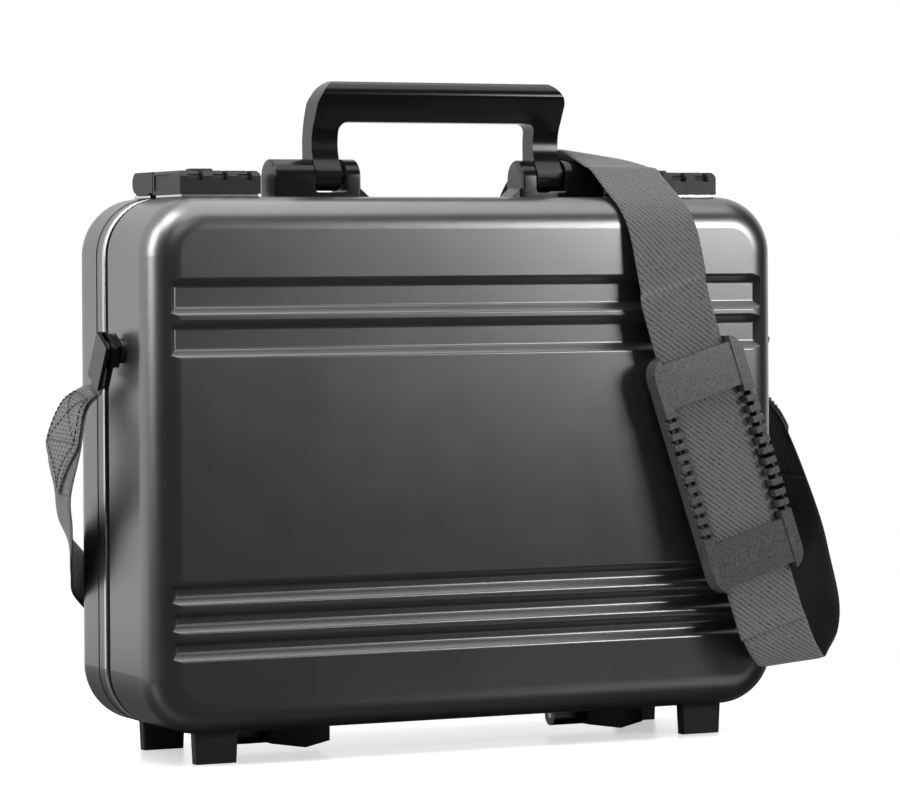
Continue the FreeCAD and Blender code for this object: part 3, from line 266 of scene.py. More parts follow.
def combined(tree, kind, a, b):
    """Two numbers joined by one operation."""
    made = tree.nodes.new("ShaderNodeMath")
    made.operation = kind
    for socket, value in zip(made.inputs, (a, b)):
        if isinstance(value, float):
            socket.default_value = value
        else:
            tree.links.new(value, socket)
    return made.outputs["Value"]


def mixed(tree, share, first, second):
    """Two shaders mixed by the second one's share."""
    made = tree.nodes.new("ShaderNodeMixShader")
    tree.links.new(share, made.inputs["Fac"])
    tree.links.new(first, made.inputs[1])
    tree.links.new(second, made.inputs[2])
    return made.outputs["Shader"]


def speckle(tree, scale, detail=2.0):
    """Fine noise over the piece, with scale in grains per metre."""
    made = node(tree, "ShaderNodeTexNoise", Scale=scale, Detail=detail)
    tree.links.new(place_of(tree), made.inputs["Vector"])
    return made.outputs["Fac"]


def mottled(tree, surface, scale, detail, dark, light):
    """Tone that wanders between two levels."""
    tone = ramp(tree, speckle(tree, scale, detail), mottle_low, mottle_high, dark, light)
    tree.links.new(tone, surface.inputs["Base Color"])


def scuffed(tree, surface, scale, detail, low, high):
    """Roughness that wanders between two values."""
    made = node(tree, "ShaderNodeMapRange", To_Min=low, To_Max=high)
    tree.links.new(speckle(tree, scale, detail), made.inputs["Value"])
    tree.links.new(made.outputs["Result"], surface.inputs["Roughness"])


def bumped(tree, surface, height, distance, strength):
    """Bump from a height source."""
    bump = node(tree, "ShaderNodeBump", Distance=distance, Strength=strength)
    tree.links.new(height, bump.inputs["Height"])
    tree.links.new(bump.outputs["Normal"], surface.inputs["Normal"])


def shell_finish():
    """Satin black anodised aluminium, with a very fine grain."""
    made, tree, surface = shader("shell_finish", level=0.2, metallic=0.95, roughness=0.36)
    mottled(tree, surface, scale=9.0, detail=2.0, dark=0.185, light=0.215)
    scuffed(tree, surface, scale=30.0, detail=5.0, low=0.29, high=0.35)
    bumped(tree, surface, speckle(tree, scale=5200.0), distance=0.00003, strength=0.35)
    return made


def bright_finish():
    """Polished aluminium edge, very slightly uneven."""
    made, tree, surface = shader("bright_finish", level=0.62, metallic=1.0, roughness=0.24)
    scuffed(tree, surface, scale=40.0, detail=2.0, low=0.22, high=0.27)
    return made


def seal_finish():
    """Dull black rubber of the seal in the seam."""
    made, tree, surface = shader("seal_finish", level=0.004, metallic=0.0, roughness=0.85)
    surface.inputs["Specular IOR Level"].default_value = 0.08
    mottled(tree, surface, scale=200.0, detail=2.0, dark=0.003, light=0.006)
    return made


def steel_finish():
    """Bright plated steel, slightly brushed."""
    made, tree, surface = shader("steel_finish", level=0.6, metallic=1.0, roughness=0.28)
    scuffed(tree, surface, scale=900.0, detail=3.0, low=0.2, high=0.36)
    return made


def dark_metal_finish():
    """Blackened steel."""
    made, tree, surface = shader("dark_metal_finish", level=0.1, metallic=0.9, roughness=0.36)
    scuffed(tree, surface, scale=500.0, detail=4.0, low=0.3, high=0.45)
    return made


def moulded_finish(name, level, low, high, grain, depth, mottle_share=0.25):
    """Moulded black plastic with its own gloss, grain and mottled tone."""
    made, tree, surface = shader(name, level, metallic=0.0, roughness=(low + high) / 2)
    surface.inputs["Specular IOR Level"].default_value = 0.4
    mottled(tree, surface, grain, detail=3.0, dark=level * (1 - mottle_share),
            light=level * (1 + mottle_share))
    scuffed(tree, surface, scale=200.0, detail=4.0, low=low, high=high)
    bumped(tree, surface, speckle(tree, grain), depth, strength=0.5)
    return made


def cloth_place(tree):
    """The place stored on a strap: across it, along it, and the share of painted shade on its inner
    face.
    """
    made = tree.nodes.new("ShaderNodeAttribute")
    made.attribute_name = "cloth"
    return made.outputs["Vector"]


def bands(tree, vector, pitch, turn):
    """Straight bands at a pitch, turned by an angle."""
    mapping = tree.nodes.new("ShaderNodeMapping")
    mapping.inputs["Rotation"].default_value = (0.0, 0.0, turn)
    tree.links.new(vector, mapping.inputs["Vector"])
    wave = node(tree, "ShaderNodeTexWave", Scale=wave_unit / pitch)
    wave.wave_profile = "SIN"
    tree.links.new(mapping.outputs["Vector"], wave.inputs["Vector"])
    return wave.outputs["Fac"]


def webbing_finish(name, level, rib_pitch, rib_turn, rib_share, yarn_pitch, yarn_share, depth):
    """Woven webbing with painted shade on its inner face: diagonal ribs over a weave, with painted
    shade in the grooves and painted light on the ridges.
    """
    made, tree, surface = shader(name, level, metallic=0.0, roughness=0.7)
    surface.inputs["Specular IOR Level"].default_value = 0.25
    surface.inputs["Sheen Weight"].default_value = 0.25
    surface.inputs["Sheen Roughness"].default_value = 0.4
    where = cloth_place(tree)
    ribs = bands(tree, where, rib_pitch, rib_turn)
    warp = bands(tree, where, yarn_pitch, 0.0)
    weft = bands(tree, where, yarn_pitch, math.pi / 2)
    weave = combined(tree, "MULTIPLY", warp, weft)
    height = combined(tree, "ADD", combined(tree, "MULTIPLY", ribs, rib_share),
                      combined(tree, "MULTIPLY", weave, yarn_share))
    fuzz = combined(tree, "MULTIPLY", speckle(tree, fuzz_scale), fuzz_share)
    # Painted shade in the weave's grooves and painted light on its ridges, with random tone from the
    # fuzz
    tone = ramp(tree, combined(tree, "ADD", height, fuzz), weave_low, weave_high,
                level * groove_painted_shade_share, level * ridge_painted_light_share)
    # Painted shade on the inner face, as far as the third number of the cloth place says
    split = tree.nodes.new("ShaderNodeSeparateXYZ")
    tree.links.new(where, split.inputs["Vector"])
    shade = tree.nodes.new("ShaderNodeMix")
    shade.data_type = "RGBA"
    shade.inputs["B"].default_value = (*grey(level * inner_painted_shade_share), 1.0)
    tree.links.new(split.outputs["Z"], shade.inputs["Factor"])
    tree.links.new(tone, shade.inputs["A"])
    tree.links.new(shade.outputs["Result"], surface.inputs["Base Color"])
    bumped(tree, surface, height, depth, strength=0.9)
    return made


def lining_finish(name, level, pitch, depth):
    """Fine woven lining, the same weave on every side of the piece."""
    made, tree, surface = shader(name, level, metallic=0.0, roughness=0.85)
    surface.inputs["Sheen Weight"].default_value = 0.3
    surface.inputs["Sheen Roughness"].default_value = 0.5
    mottled(tree, surface, scale=90.0, detail=4.0, dark=level * lining_dark_share,
            light=level * lining_light_share)
    cells = node(tree, "ShaderNodeTexVoronoi", Scale=1.0 / pitch)
    tree.links.new(place_of(tree), cells.inputs["Vector"])
    bumped(tree, surface, cells.outputs["Distance"], depth, strength=0.8)
    return made


shell = shell_finish()
bright = bright_finish()
steel = steel_finish()
dark_metal = dark_metal_finish()
gloss_black = moulded_finish("gloss_black", level=0.008, low=0.14, high=0.22, grain=1500.0,
                             depth=0.00002)
matte_black = moulded_finish("matte_black", level=0.014, low=0.40, high=0.55, grain=1300.0,
                             depth=0.00010)
pad_plastic = moulded_finish("pad_plastic", level=0.065, low=0.24, high=0.34, grain=900.0,
                             depth=0.00014, mottle_share=0.6)
webbing = webbing_finish("webbing", level=0.06, rib_pitch=0.0030, rib_turn=math.radians(-38),
                         rib_share=0.7, yarn_pitch=0.0011, yarn_share=0.25, depth=0.0003)
coarse_webbing = webbing_finish("coarse_webbing", level=0.075, rib_pitch=0.0045,
                                rib_turn=math.radians(30), rib_share=0.25, yarn_pitch=0.0028,
                                yarn_share=0.9, depth=0.0006)
seal = seal_finish()
lining = lining_finish("lining", level=0.035, pitch=0.0012, depth=0.0002)
padding = lining_finish("padding", level=0.05, pitch=0.0018, depth=0.0004)
organiser = lining_finish("organiser", level=0.042, pitch=0.0015, depth=0.0003)
thread = lining_finish("thread", level=0.008, pitch=0.0005, depth=0.0002)


def painted(thing, material):
    """Give a piece one material."""
    thing.data.materials.clear()
    thing.data.materials.append(material)


def smooth(mesh):
    """Smooth shading on every face."""
    mesh.polygons.foreach_set("use_smooth", [True] * len(mesh.polygons))


def new_piece(name, vertices, faces, material):
    """A smooth mesh piece with one material."""
    mesh = bpy.data.meshes.new(name)
    mesh.from_pydata([tuple(v) for v in vertices], [], faces)
    smooth(mesh)
    thing = bpy.data.objects.new(name, mesh)
    bpy.context.scene.collection.objects.link(thing)
    painted(thing, material)
    return thing


def settled(thing, node_name):
    """Let a piece stand for its CAD node, on the node's body."""
    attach(thing, nodes[node_name]["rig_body"])
    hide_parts(node_name)


def applied(thing):
    """Turn the modifiers of a piece into its mesh."""
    graph = bpy.context.evaluated_depsgraph_get()
    mesh = bpy.data.meshes.new_from_object(thing.evaluated_get(graph))
    thing.modifiers.clear()
    thing.data = mesh


def copy_of(node_name, name):
    """A free copy of a CAD node's mesh, with its seams welded."""
    thing = bpy.data.objects.new(name, nodes[node_name].data.copy())
    bpy.context.scene.collection.objects.link(thing)
    work = bmesh.new()
    work.from_mesh(thing.data)
    bmesh.ops.remove_doubles(work, verts=work.verts, dist=weld_distance)
    work.to_mesh(thing.data)
    work.free()
    if thing.data.has_custom_normals:
        thing.data.attributes.remove(thing.data.attributes["custom_normal"])
    return thing


def box_mesh(boxes, place):
    """Vertices and faces of boxes given by their ranges in a frame."""
    vertices = []
    faces = []
    for xs, ys, zs in boxes:
        base = len(vertices)
        vertices += [place @ Vector((x, y, z))
                     for x in sorted(xs) for y in sorted(ys) for z in sorted(zs)]
        faces += [tuple(base + i for i in face) for face in
                  ((0, 1, 3, 2), (4, 6, 7, 5), (0, 4, 5, 1), (2, 3, 7, 6), (0, 2, 6, 4), (1, 5, 7, 3))]
    return vertices, faces


def carved(thing, vertices, faces):
    """Cut closed shapes out of a piece."""
    mesh = bpy.data.meshes.new("cutter")
    mesh.from_pydata(vertices, [], faces)
    cutter = bpy.data.objects.new("cutter", mesh)
    bpy.context.scene.collection.objects.link(cutter)
    cut = thing.modifiers.new("cut", "BOOLEAN")
    cut.operation = "DIFFERENCE"
    cut.solver = "EXACT"
    cut.object = cutter
    applied(thing)
    bpy.data.objects.remove(cutter)


def softened(node_name, material, width, slot, cutter=None):
    """A copy of a hard CAD node with small round edges in place of its sharp ones."""
    thing = copy_of(node_name, node_name + "_soft_edged")
    if cutter:
        carved(thing, *cutter)
    work = bmesh.new()
    work.from_mesh(thing.data)
    bmesh.ops.dissolve_limit(work, angle_limit=flat_angle, verts=work.verts, edges=work.edges)
    work.to_mesh(thing.data)
    work.free()
    smooth(thing.data)
    bevel = thing.modifiers.new("edges", "BEVEL")
    bevel.width = width
    bevel.segments = edge_segments
    bevel.limit_method = "ANGLE"
    bevel.angle_limit = edge_angle
    bevel.harden_normals = True
    bevel.use_clamp_overlap = True
    applied(thing)
    painted(thing, material)
    settled(thing, node_name)


def curve_point(a, b, c, d, t):
    """Point on the smooth curve between b and c."""
    return 0.5 * (2 * b + (c - a) * t + (2 * a - 5 * b + 4 * c - d) * t * t
                  + (3 * b - a - 3 * c + d) * t * t * t)


def smooth_line(points, steps):
    """Points on a smooth curve through the given ones, steps to each span."""
    line = []
    last = len(points) - 1
    for i in range(last):
        a = points[max(i - 1, 0)]
        d = points[min(i + 2, last)]
        for k in range(steps):
            line.append(curve_point(a, points[i], points[i + 1], d, k / steps))
    line.append(points[last])
    return line


# Strap stations: a centre in shares of a scale, then the direction and share of the width.
# The ends hang from their clips, in shares of the anchors' rise.
left_end_shares = [
    ((-0.5328, 0.171, 0.8507), (0.0, 1.0, 0.10), 0.80),
    ((-0.5536, 0.154, 0.7362), (-0.06, 1.0, 0.04), 1.0),
    ((-0.5521, 0.193, 0.6217), (0.12, 0.98, 0.08), 0.90),
]
right_end_shares = [
    ((0.5600, -0.060, 0.7157), (-0.04, 1.0, -0.05), 1.08),
    ((0.5560, 0.007, 0.7996), (0.0, 1.0, 0.10), 1.02),
    ((0.5420, 0.020, 0.8550), (0.0, 1.0, 0.25), 0.80),
]
# The runs behind the case, down its front and round the loop, in shares of the case
rear_run_shares = [
    ((-0.5339, 0.311, 0.3776), (0.17, 0.98, 0.10), 0.90),
    ((-0.5066, 0.425, 0.3061), (0.45, 0.85, 0.27), 1.0),
    ((-0.4770, 0.571, 0.2697), (0.50, 0.72, 0.48), 1.0),
    ((-0.4230, 0.645, 0.2420), (0.20, 0.30, 0.93), 1.0),
    ((-0.3282, 0.671, 0.2274), (0.0, 0.03, 1.0), 1.0),
    ((-0.1500, 0.700, 0.2500), (-0.35, 0.0, 0.94), 1.0),
    ((0.0000, 0.700, 0.3700), (-0.60, 0.0, 0.80), 1.0),
    ((0.1200, 0.695, 0.5500), (-0.80, 0.0, 0.60), 1.0),
    ((0.1950, 0.680, 0.7400), (-0.92, 0.0, 0.38), 1.0),
    ((0.2400, 0.640, 0.9000), (-0.97, 0.05, 0.22), 1.0),
    ((0.2640, 0.540, 1.0200), (-0.98, 0.10, 0.15), 1.02),
]
front_run_shares = [
    ((0.2823, -0.414, 1.0102), (-1.0, 0.0, -0.02), 1.0),
    ((0.2899, -0.493, 0.9781), (-1.0, 0.0, -0.03), 1.0),
    ((0.2980, -0.545, 0.9300), (-1.0, 0.0, -0.05), 1.0),
    ((0.3070, -0.580, 0.8400), (-0.967, 0.0, -0.25), 1.0),
]
loop_shares = [
    ((0.4530, -0.672, 0.1680), (-0.965, 0.0, -0.26), 1.0),
    ((0.4690, -0.668, 0.1230), (-0.97, 0.0, -0.22), 0.97),
    ((0.4870, -0.645, 0.0940), (-0.985, 0.05, -0.15), 0.94),
    ((0.5020, -0.595, 0.0870), (-0.99, 0.10, -0.08), 0.92),
    ((0.5150, -0.555, 0.1020), (-0.98, 0.22, -0.04), 0.90),
    ((0.5250, -0.575, 0.1450), (-0.93, 0.38, 0.0), 0.90),
    ((0.5340, -0.545, 0.2080), (-0.72, 0.69, 0.05), 0.90),
    ((0.5440, -0.425, 0.2960), (-0.50, 0.86, 0.08), 0.94),
    ((0.5540, -0.330, 0.3600), (-0.28, 0.96, 0.05), 0.98),
    ((0.5580, -0.200, 0.4450), (-0.12, 1.0, 0.02), 1.0),
]
# The crest over the right lock, in shares of the lock's place, its front and the crest's rise
rear_crest_shares = [
    ((0.7680, 1.225, 0.894), (-0.99, 0.10, 0.13), 1.05),
    ((0.7750, 0.588, 0.990), (-0.99, 0.05, 0.14), 1.06),
    ((0.7560, 0.074, 0.944), (-0.98, 0.05, 0.14), 1.04),
    ((0.7500, -0.368, 0.828), (-0.99, 0.05, 0.09), 1.02),
]
front_crest_shares = [
    ((0.7500, -0.760, 0.680), (-1.0, 0.02, 0.03), 1.0),
    ((0.7530, -0.919, 0.636), (-1.0, 0.0, 0.0), 1.0),
    ((0.7590, -1.127, 0.425), (-1.0, 0.0, 0.0), 1.0),
]
case_scale = (case_width, case_depth, case_height)
anchor_scale = (case_width, case_depth, anchor_rise)
crest_scale = (lock_centre, lock_front, strap_crest)


def stations_from(table, scale, start_z):
    """Left and right edge points of the strap from a table of shares of a scale."""
    stations = []
    for shares, way, width_share in table:
        centre = Vector([share * size for share, size in zip(shares, scale)])
        centre.z += start_z
        half = Vector(way).normalized() * (strap_width * width_share / 2)
        stations.append((centre + half, centre - half))
    return stations


def tab_stations(side):
    """The strap's end between one clip's plates, from its inner end to below the clip."""
    across = Vector((0.0, math.cos(clip_lean), math.sin(clip_lean)))
    along = Vector((0.0, math.sin(clip_lean), -math.cos(clip_lean)))
    half = across * strap_tab_half_width
    start = Vector((side * (case_width / 2 + strap_tab_stand), -anchor_y, bottom_z + anchor_rise))
    start -= across * strap_tab_shift
    centres = [start + along * reach for reach in (strap_tab_start, strap_tab_end)]
    return [(centre + half, centre - half) for centre in centres]


pad_frame_place = (Matrix.Translation((pad_x, front_y - pad_centre_drop, bottom_z + pad_rise))
                   @ Matrix.Rotation(pad_lean, 4, "Y") @ Matrix.Rotation(pad_tilt, 4, "X"))


def pad_stations():
    """Straight stretch of the strap through the pad and its travel."""
    reach = pad_length / 2 + pad_travel + pad_overrun
    half = strap_width / 2
    return [(pad_frame_place @ Vector((-half, 0, z)), pad_frame_place @ Vector((half, 0, z)))
            for z in (reach, -reach)]


def ribbon(name, left, right, start, material, inner_painted_shade=0.0):
    """A flat strap between two edge lines, with round edges and its place stored for the weave.
    The third number of the place says how far the face towards the case gets the painted shade."""
    count = len(left)
    middles = [(a + b) / 2 for a, b in zip(left, right)]
    vertices = []
    places = []
    along = start
    for i in range(count):
        ahead = middles[min(i + 1, count - 1)] - middles[max(i - 1, 0)]
        across = left[i] - right[i]
        normal = ahead.cross(across).normalized()
        if i:
            along += (middles[i] - middles[i - 1]).length
        for face in (1, -1):
            for k in range(strap_across + 1):
                share = (2 * k / strap_across - 1) * face
                thinning = strap_edge_thinning_share * abs(share) ** strap_edge_power
                thick = strap_thick / 2 * (1 - thinning)
                vertices.append(middles[i] + across * (share / 2) + normal * (thick * face))
                places.append((share * across.length / 2, along, inner_painted_shade if face > 0 else 0.0))
    ring = 2 * (strap_across + 1)
    faces = []
    for i in range(count - 1):
        for k in range(ring):
            n = (k + 1) % ring
            faces.append((i * ring + k, (i + 1) * ring + k, (i + 1) * ring + n, i * ring + n))
    faces.append(tuple(range(ring)))
    faces.append(tuple(reversed(range((count - 1) * ring, count * ring))))
    thing = new_piece(name, vertices, faces, material)
    data = thing.data.attributes.new("cloth", "FLOAT_VECTOR", "POINT")
    for item, place in zip(data.data, places):
        item.vector = place
    return thing, along


def make_strap():
    """The four stretches of the strap, smooth through all their stations, and their edge lines."""
    runs = {
        "strap_left_end": tab_stations(-1) + stations_from(left_end_shares, anchor_scale, bottom_z),
        "strap_rear_run": (stations_from(rear_run_shares, case_scale, bottom_z)
                           + stations_from(rear_crest_shares, crest_scale, top_z)),
        "strap_front_run": (stations_from(front_crest_shares, crest_scale, top_z)
                            + stations_from(front_run_shares, case_scale, bottom_z) + pad_stations()
                            + stations_from(loop_shares, case_scale, bottom_z)),
        "strap_right_end": (stations_from(right_end_shares, anchor_scale, bottom_z)
                            + tab_stations(1)[::-1]),
    }
    stations = []
    marks = [0]
    for run in runs.values():
        stations += run
        marks.append((len(stations) - 1) * strap_steps)
    left = smooth_line([a for a, b in stations], strap_steps)
    right = smooth_line([b for a, b in stations], strap_steps)
    made = {}
    edges = {}
    along = 0.0
    for name, first, last in zip(runs, marks, marks[1:]):
        edges[name] = (left[first:last + 1], right[first:last + 1])
        # The strap's inner face gets painted shade
        made[name], along = ribbon(name + "_webbing", *edges[name], along, webbing, inner_painted_shade=1.0)
        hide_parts(name)
    return made, edges


def tail_lines(edges, side):
    """Edge lines of the doubled end outside the strap, narrowing to a point, and its normals."""
    left, right = edges
    if side > 0:
        left, right = left[::-1], right[::-1]
    count = len(left)
    first = strap_steps + tail_start_step
    lines = ([], [])
    normals = []
    for i in range(first, count):
        ahead = left[min(i + 1, count - 1)] + right[min(i + 1, count - 1)] - left[i - 1] - right[i - 1]
        normal = ahead.cross(left[i] - right[i]).normalized()
        normal *= math.copysign(1.0, normal.x * side)
        reach = (i - first) / (count - 1 - first)
        width = min(1.0, (1.0 - reach) / (1.0 - tail_shoulder_share) + tail_tip_share)
        centre = (left[i] + right[i]) / 2 + normal * tail_lift
        half = (left[i] - right[i]) * (width / 2)
        lines[0].append(centre + half)
        lines[1].append(centre - half)
        normals.append(normal)
    return lines, normals


def stitch_row(lines, normals, start, end, vertices, faces):
    """Raised stitches between two places on a doubled end, given across (-1 to 1) and along."""

    def spot(across, along):
        step = along * (len(normals) - 1)
        i = int(step)
        left = lines[0][i].lerp(lines[0][i + 1], step - i)
        right = lines[1][i].lerp(lines[1][i + 1], step - i)
        return (left + right) / 2 + (left - right) * (across / 2), normals[i]

    length = (spot(*end)[0] - spot(*start)[0]).length
    count = max(1, round(length / stitch_pitch))
    for n in range(count):
        shares = [(n + offset) / count for offset in (0.5 - stitch_share / 2, 0.5 + stitch_share / 2)]
        (a, up), (b, _) = [spot(start[0] + (end[0] - start[0]) * share,
                                start[1] + (end[1] - start[1]) * share) for share in shares]
        side = (b - a).cross(up).normalized() * stitch_radius
        base = len(vertices)
        for point in (a, b):
            for way in (side, up * (strap_thick / 2 + stitch_radius), -side):
                vertices.append(point + up * (strap_thick / 4) + way)
        faces += [tuple(base + i for i in face) for face in
                  ((0, 3, 4, 1), (1, 4, 5, 2), (0, 1, 2), (3, 5, 4), (0, 2, 5, 3))]


def make_tail(name, edges, side, body, start, end):
    """The strap's doubled end with its box, cross and pointed stitching."""
    lines, normals = tail_lines(edges, side)
    tail = ribbon(name + "_tail", *lines, 0.0, coarse_webbing)[0]
    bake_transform(tail)
    near_left = (-stitch_wide_share, stitch_near_share)
    near_right = (stitch_wide_share, stitch_near_share)
    far_left = (-stitch_wide_share, tail_shoulder_share)
    far_right = (stitch_wide_share, tail_shoulder_share)
    tip = (0.0, stitch_tip_share)
    rows = [(near_left, near_right), (far_left, far_right), (near_left, far_left),
            (near_right, far_right), (near_left, far_right), (near_right, far_left),
            (far_left, tip), (far_right, tip)]
    vertices = []
    faces = []
    for row in rows:
        stitch_row(lines, normals, *row, vertices, faces)
    stitches = new_piece(name + "_stitches", vertices, faces, thread)
    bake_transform(stitches)


strap, strap_edges = make_strap()
for side, name in side_names.items():
    strap_end = "strap_%s_end" % name
    clip = name + "_anchor_clip"
    bend = ((side * bend_start_x, 0.0, bend_start_z), (side * bend_end_x, 0.0, bend_end_z[side]))
    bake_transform(strap[strap_end])
    make_tail(name, strap_edges[strap_end], side, clip, *bend)
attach(strap["strap_front_run"], "base")
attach(strap["strap_rear_run"], "base")
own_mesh(strap["strap_rear_run"])

# Hard pieces that keep the frame's mesh
kept_meshes = [
    (shell, ("front_shell", "rear_shell")),
    (bright, ("rear_rim",)),
    (seal, ("rim_gasket",)),
    (dark_metal, ("front_rim", "base_hinge_leaves", "lid_hinge_leaves")),
    (steel, ("front_foot_screws", "rear_foot_screws", "handle_pins", "bracket_screws", "hinge_pins",
             "base_hinge_rivets", "lid_hinge_rivets", "front_stay_studs", "rear_stay_studs",
             "wheel_spindles", "wheel_detents", "hasp_pins")),
]
for material, node_names in kept_meshes:
    for node_name in node_names:
        painted(nodes[node_name], material)


def pad_wall_notches():
    """Notches that carry the pad's slots on through the upper part of its outer walls."""
    boxes = []
    for side in side_names:
        for i in range(pad_rib_count):
            z = (i - (pad_rib_count - 1) / 2) * pad_rib_pitch
            boxes.append(((side * (pad_half_width - pad_rib_wall - pad_overrun),
                           side * (pad_half_width + pad_overrun)),
                          (-pad_front - pad_overrun, pad_notch_floor),
                          (z - pad_rib_gap / 2, z + pad_rib_gap / 2)))
    return box_mesh(boxes, pad_frame_place)


# Hard pieces with softened edges: node, material, edge width, slot and what is cut away
soft_edged = [
    ("handle", gloss_black, plain_edge, "gloss_black"),
    ("handle_brackets", gloss_black, fine_edge, "gloss_black"),
    ("front_feet", matte_black, fine_edge, "matte_black"),
    ("rear_feet", matte_black, fine_edge, "matte_black"),
    ("hinge_blocks", matte_black, fine_edge, "matte_black"),
    ("lock_housings", matte_black, fine_edge, "matte_black"),
    ("lock_plates", bright, fine_edge, "bright"),
    ("hasp_plates", bright, fine_edge, "bright"),
    ("hasp_brackets", matte_black, fine_edge, "matte_black"),
    ("left_hasp", matte_black, fine_edge, "matte_black"),
    ("right_hasp", matte_black, fine_edge, "matte_black"),
    ("left_slide_and_bolt", matte_black, fine_edge, "matte_black"),
    ("right_slide_and_bolt", matte_black, fine_edge, "matte_black"),
    ("left_stay_front_arm", steel, fine_edge, "steel"),
    ("right_stay_front_arm", steel, fine_edge, "steel"),
    ("left_stay_rear_arm", steel, fine_edge, "steel"),
    ("right_stay_rear_arm", steel, fine_edge, "steel"),
    ("left_anchor_clip", gloss_black, fine_edge, "gloss_black"),
    ("right_anchor_clip", gloss_black, fine_edge, "gloss_black"),
    ("anchor_studs", dark_metal, fine_edge, "dark_metal"),
    ("pad_frame", pad_plastic, fine_edge, "matte_black", pad_wall_notches()),
    ("belt_buckle", matte_black, fine_edge, "matte_black"),
]
for entry in soft_edged:
    softened(*entry)
for name in side_names.values():
    for number in (1, 2, 3):
        softened("%s_wheel_%d" % (name, number), matte_black, wheel_edge, "matte_black")


def uneven(thing, wave):
    """Move the points of a soft piece in and out a little, in long waves and short ripples."""
    mesh = thing.data
    spots = [vertex.co.copy() for vertex in mesh.vertices]
    ways = [item.vector.copy() for item in mesh.vertex_normals]
    moved = []
    for spot, way in zip(spots, ways):
        lift = noise.noise(spot * waves_per_metre)
        lift += ripple_share * noise.noise(spot * ripples_per_metre)
        moved.extend(spot + way * (wave * lift))
    mesh.vertices.foreach_set("co", moved)
    mesh.update()


def lining_piece(node_name, material, slot, cell, wave):
    """A soft piece grown from its CAD solid: rounded, evenly meshed and slightly uneven."""
    thing = copy_of(node_name, node_name + "_fabric")
    remesh = thing.modifiers.new("even", "REMESH")
    remesh.mode = "VOXEL"
    remesh.voxel_size = cell
    applied(thing)
    relax = thing.modifiers.new("relax", "SMOOTH")
    relax.factor = relax_share
    relax.iterations = relax_rounds
    applied(thing)
    uneven(thing, wave)
    smooth(thing.data)
    painted(thing, material)
    settled(thing, node_name)
    return thing


fabric_pieces = [
    ("front_liner", lining, "lining", liner_cell, flat_wave),
    ("rear_liner", lining, "lining", liner_cell, flat_wave),
    ("organiser_panel", organiser, "organiser", panel_cell, flat_wave),
    ("document_pocket", organiser, "organiser", panel_cell, plain_wave),
    ("card_pockets", organiser, "organiser", panel_cell, plain_wave),
    ("laptop_belt", webbing, "webbing", belt_cell, flat_wave),
]
for entry in fabric_pieces:
    lining_piece(*entry)
cradle = lining_piece("laptop_cradle", padding, "padding", cradle_cell, cradle_wave)
cushion = lining_piece("pad_cushion", padding, "padding", panel_cell, plain_wave)


def make_floor():
    """Pale round floor that keeps the shadow and fades into the white backdrop, with a painted dark
    reflection where the metal mirrors it.
    """
    bpy.ops.mesh.primitive_circle_add(vertices=floor_sides, radius=floor_radius, fill_type="NGON")
    floor = bpy.context.object
    floor.name = "floor"
    made, tree, surface = shader("floor_finish", floor_level, metallic=0.0, roughness=0.3)
    path = tree.nodes.new("ShaderNodeLightPath")
    # Painted dark reflection: glossy rays see the floor nearly black
    tone = ramp(tree, path.outputs["Is Glossy Ray"], 0.0, 1.0, floor_level, floor_painted_dark_reflection)
    tree.links.new(tone, surface.inputs["Base Color"])
    tree.links.new(path.outputs["Is Camera Ray"], surface.inputs["Emission Strength"])
    surface.inputs["Emission Color"].default_value = (*grey(floor_lift), 1.0)
    glow = tree.nodes.new("ShaderNodeEmission")
    tree.links.new(path.outputs["Is Camera Ray"], glow.inputs["Strength"])
    distance = tree.nodes.new("ShaderNodeVectorMath")
    distance.operation = "LENGTH"
    tree.links.new(place_of(tree), distance.inputs[0])
    fade = eased(tree, distance.outputs["Value"], floor_fade_start, floor_fade_end, 0.0, 1.0)
    mix = mixed(tree, fade, surface.outputs["BSDF"], glow.outputs["Emission"])
    tree.links.new(mix, tree.nodes["Material Output"].inputs["Surface"])
    painted(floor, made)


def white(tree, strength):
    """White light from the world."""
    made = node(tree, "ShaderNodeBackground", Strength=strength)
    made.inputs["Color"].default_value = (*grey(1.0), 1.0)
    return made


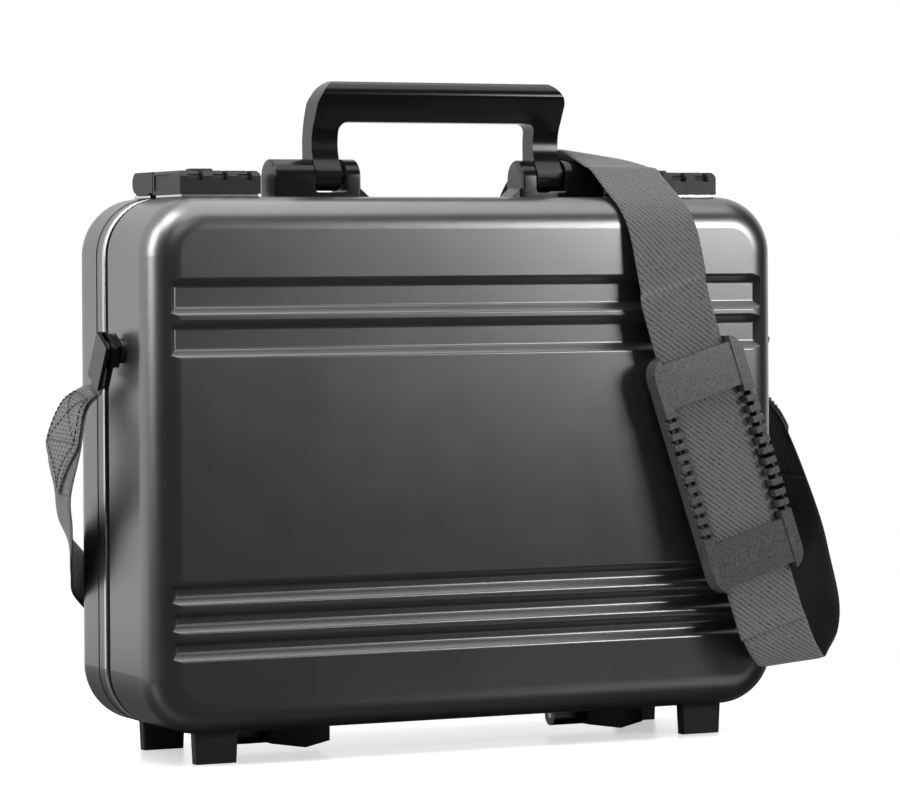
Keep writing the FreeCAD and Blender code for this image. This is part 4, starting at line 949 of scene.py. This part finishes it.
def make_world():
    """White backdrop, with a dark room in front of it for what the metal reflects."""
    world = bpy.data.worlds.new("studio")
    bpy.context.scene.world = world
    world.use_nodes = True
    tree = world.node_tree
    tree.nodes.clear()
    out = tree.nodes.new("ShaderNodeOutputWorld")
    path = tree.nodes.new("ShaderNodeLightPath")
    where = tree.nodes.new("ShaderNodeTexCoord")
    split = tree.nodes.new("ShaderNodeSeparateXYZ")
    tree.links.new(where.outputs["Generated"], split.inputs["Vector"])
    back = eased(tree, split.outputs["Y"], backdrop_start, backdrop_end, room_dark, 1.0)
    soft = white(tree, ambient)
    seen = white(tree, 1.0)
    mirrored = white(tree, 1.0)
    tree.links.new(back, mirrored.inputs["Strength"])
    glossy = combined(tree, "MAXIMUM", path.outputs["Is Glossy Ray"],
                      path.outputs["Is Transmission Ray"])
    lit = mixed(tree, glossy, soft.outputs["Background"], mirrored.outputs["Background"])
    mix = mixed(tree, path.outputs["Is Camera Ray"], lit, seen.outputs["Background"])
    tree.links.new(mix, out.inputs["Surface"])


def softbox(name, centre, target, width, height, power):
    """Rectangular area lamp that faces a point."""
    lamp = bpy.data.lights.new(name, "AREA")
    lamp.shape = "RECTANGLE"
    lamp.size = width
    lamp.size_y = height
    lamp.energy = power
    thing = bpy.data.objects.new(name, lamp)
    bpy.context.scene.collection.objects.link(thing)
    thing.location = centre
    thing.rotation_euler = (Vector(target) - Vector(centre)).to_track_quat("-Z", "Y").to_euler()
    thing.visible_camera = False


def make_camera():
    """Camera at the photograph's place, with its turn, roll and picture frame."""
    data = bpy.data.cameras.new("photo_camera")
    camera = bpy.data.objects.new("photo_camera", data)
    bpy.context.scene.collection.objects.link(camera)
    turn = (Matrix.Rotation(-eye_yaw, 4, "Z") @ Matrix.Rotation(math.pi / 2, 4, "X")
            @ Matrix.Rotation(-eye_roll, 4, "Z"))
    camera.matrix_world = Matrix.Translation(eye) @ turn
    data.sensor_width = sensor_mm
    data.lens = focal_pixels / photo_width * sensor_mm
    data.shift_y = -(photo_height / 2 - horizon_pixel) / photo_width
    data.clip_start = near_clip
    bpy.context.scene.camera = camera


make_floor()
make_world()
for lamp_values in lamps:
    softbox(*lamp_values)
make_camera()
bpy.context.scene.view_settings.view_transform = "Standard"
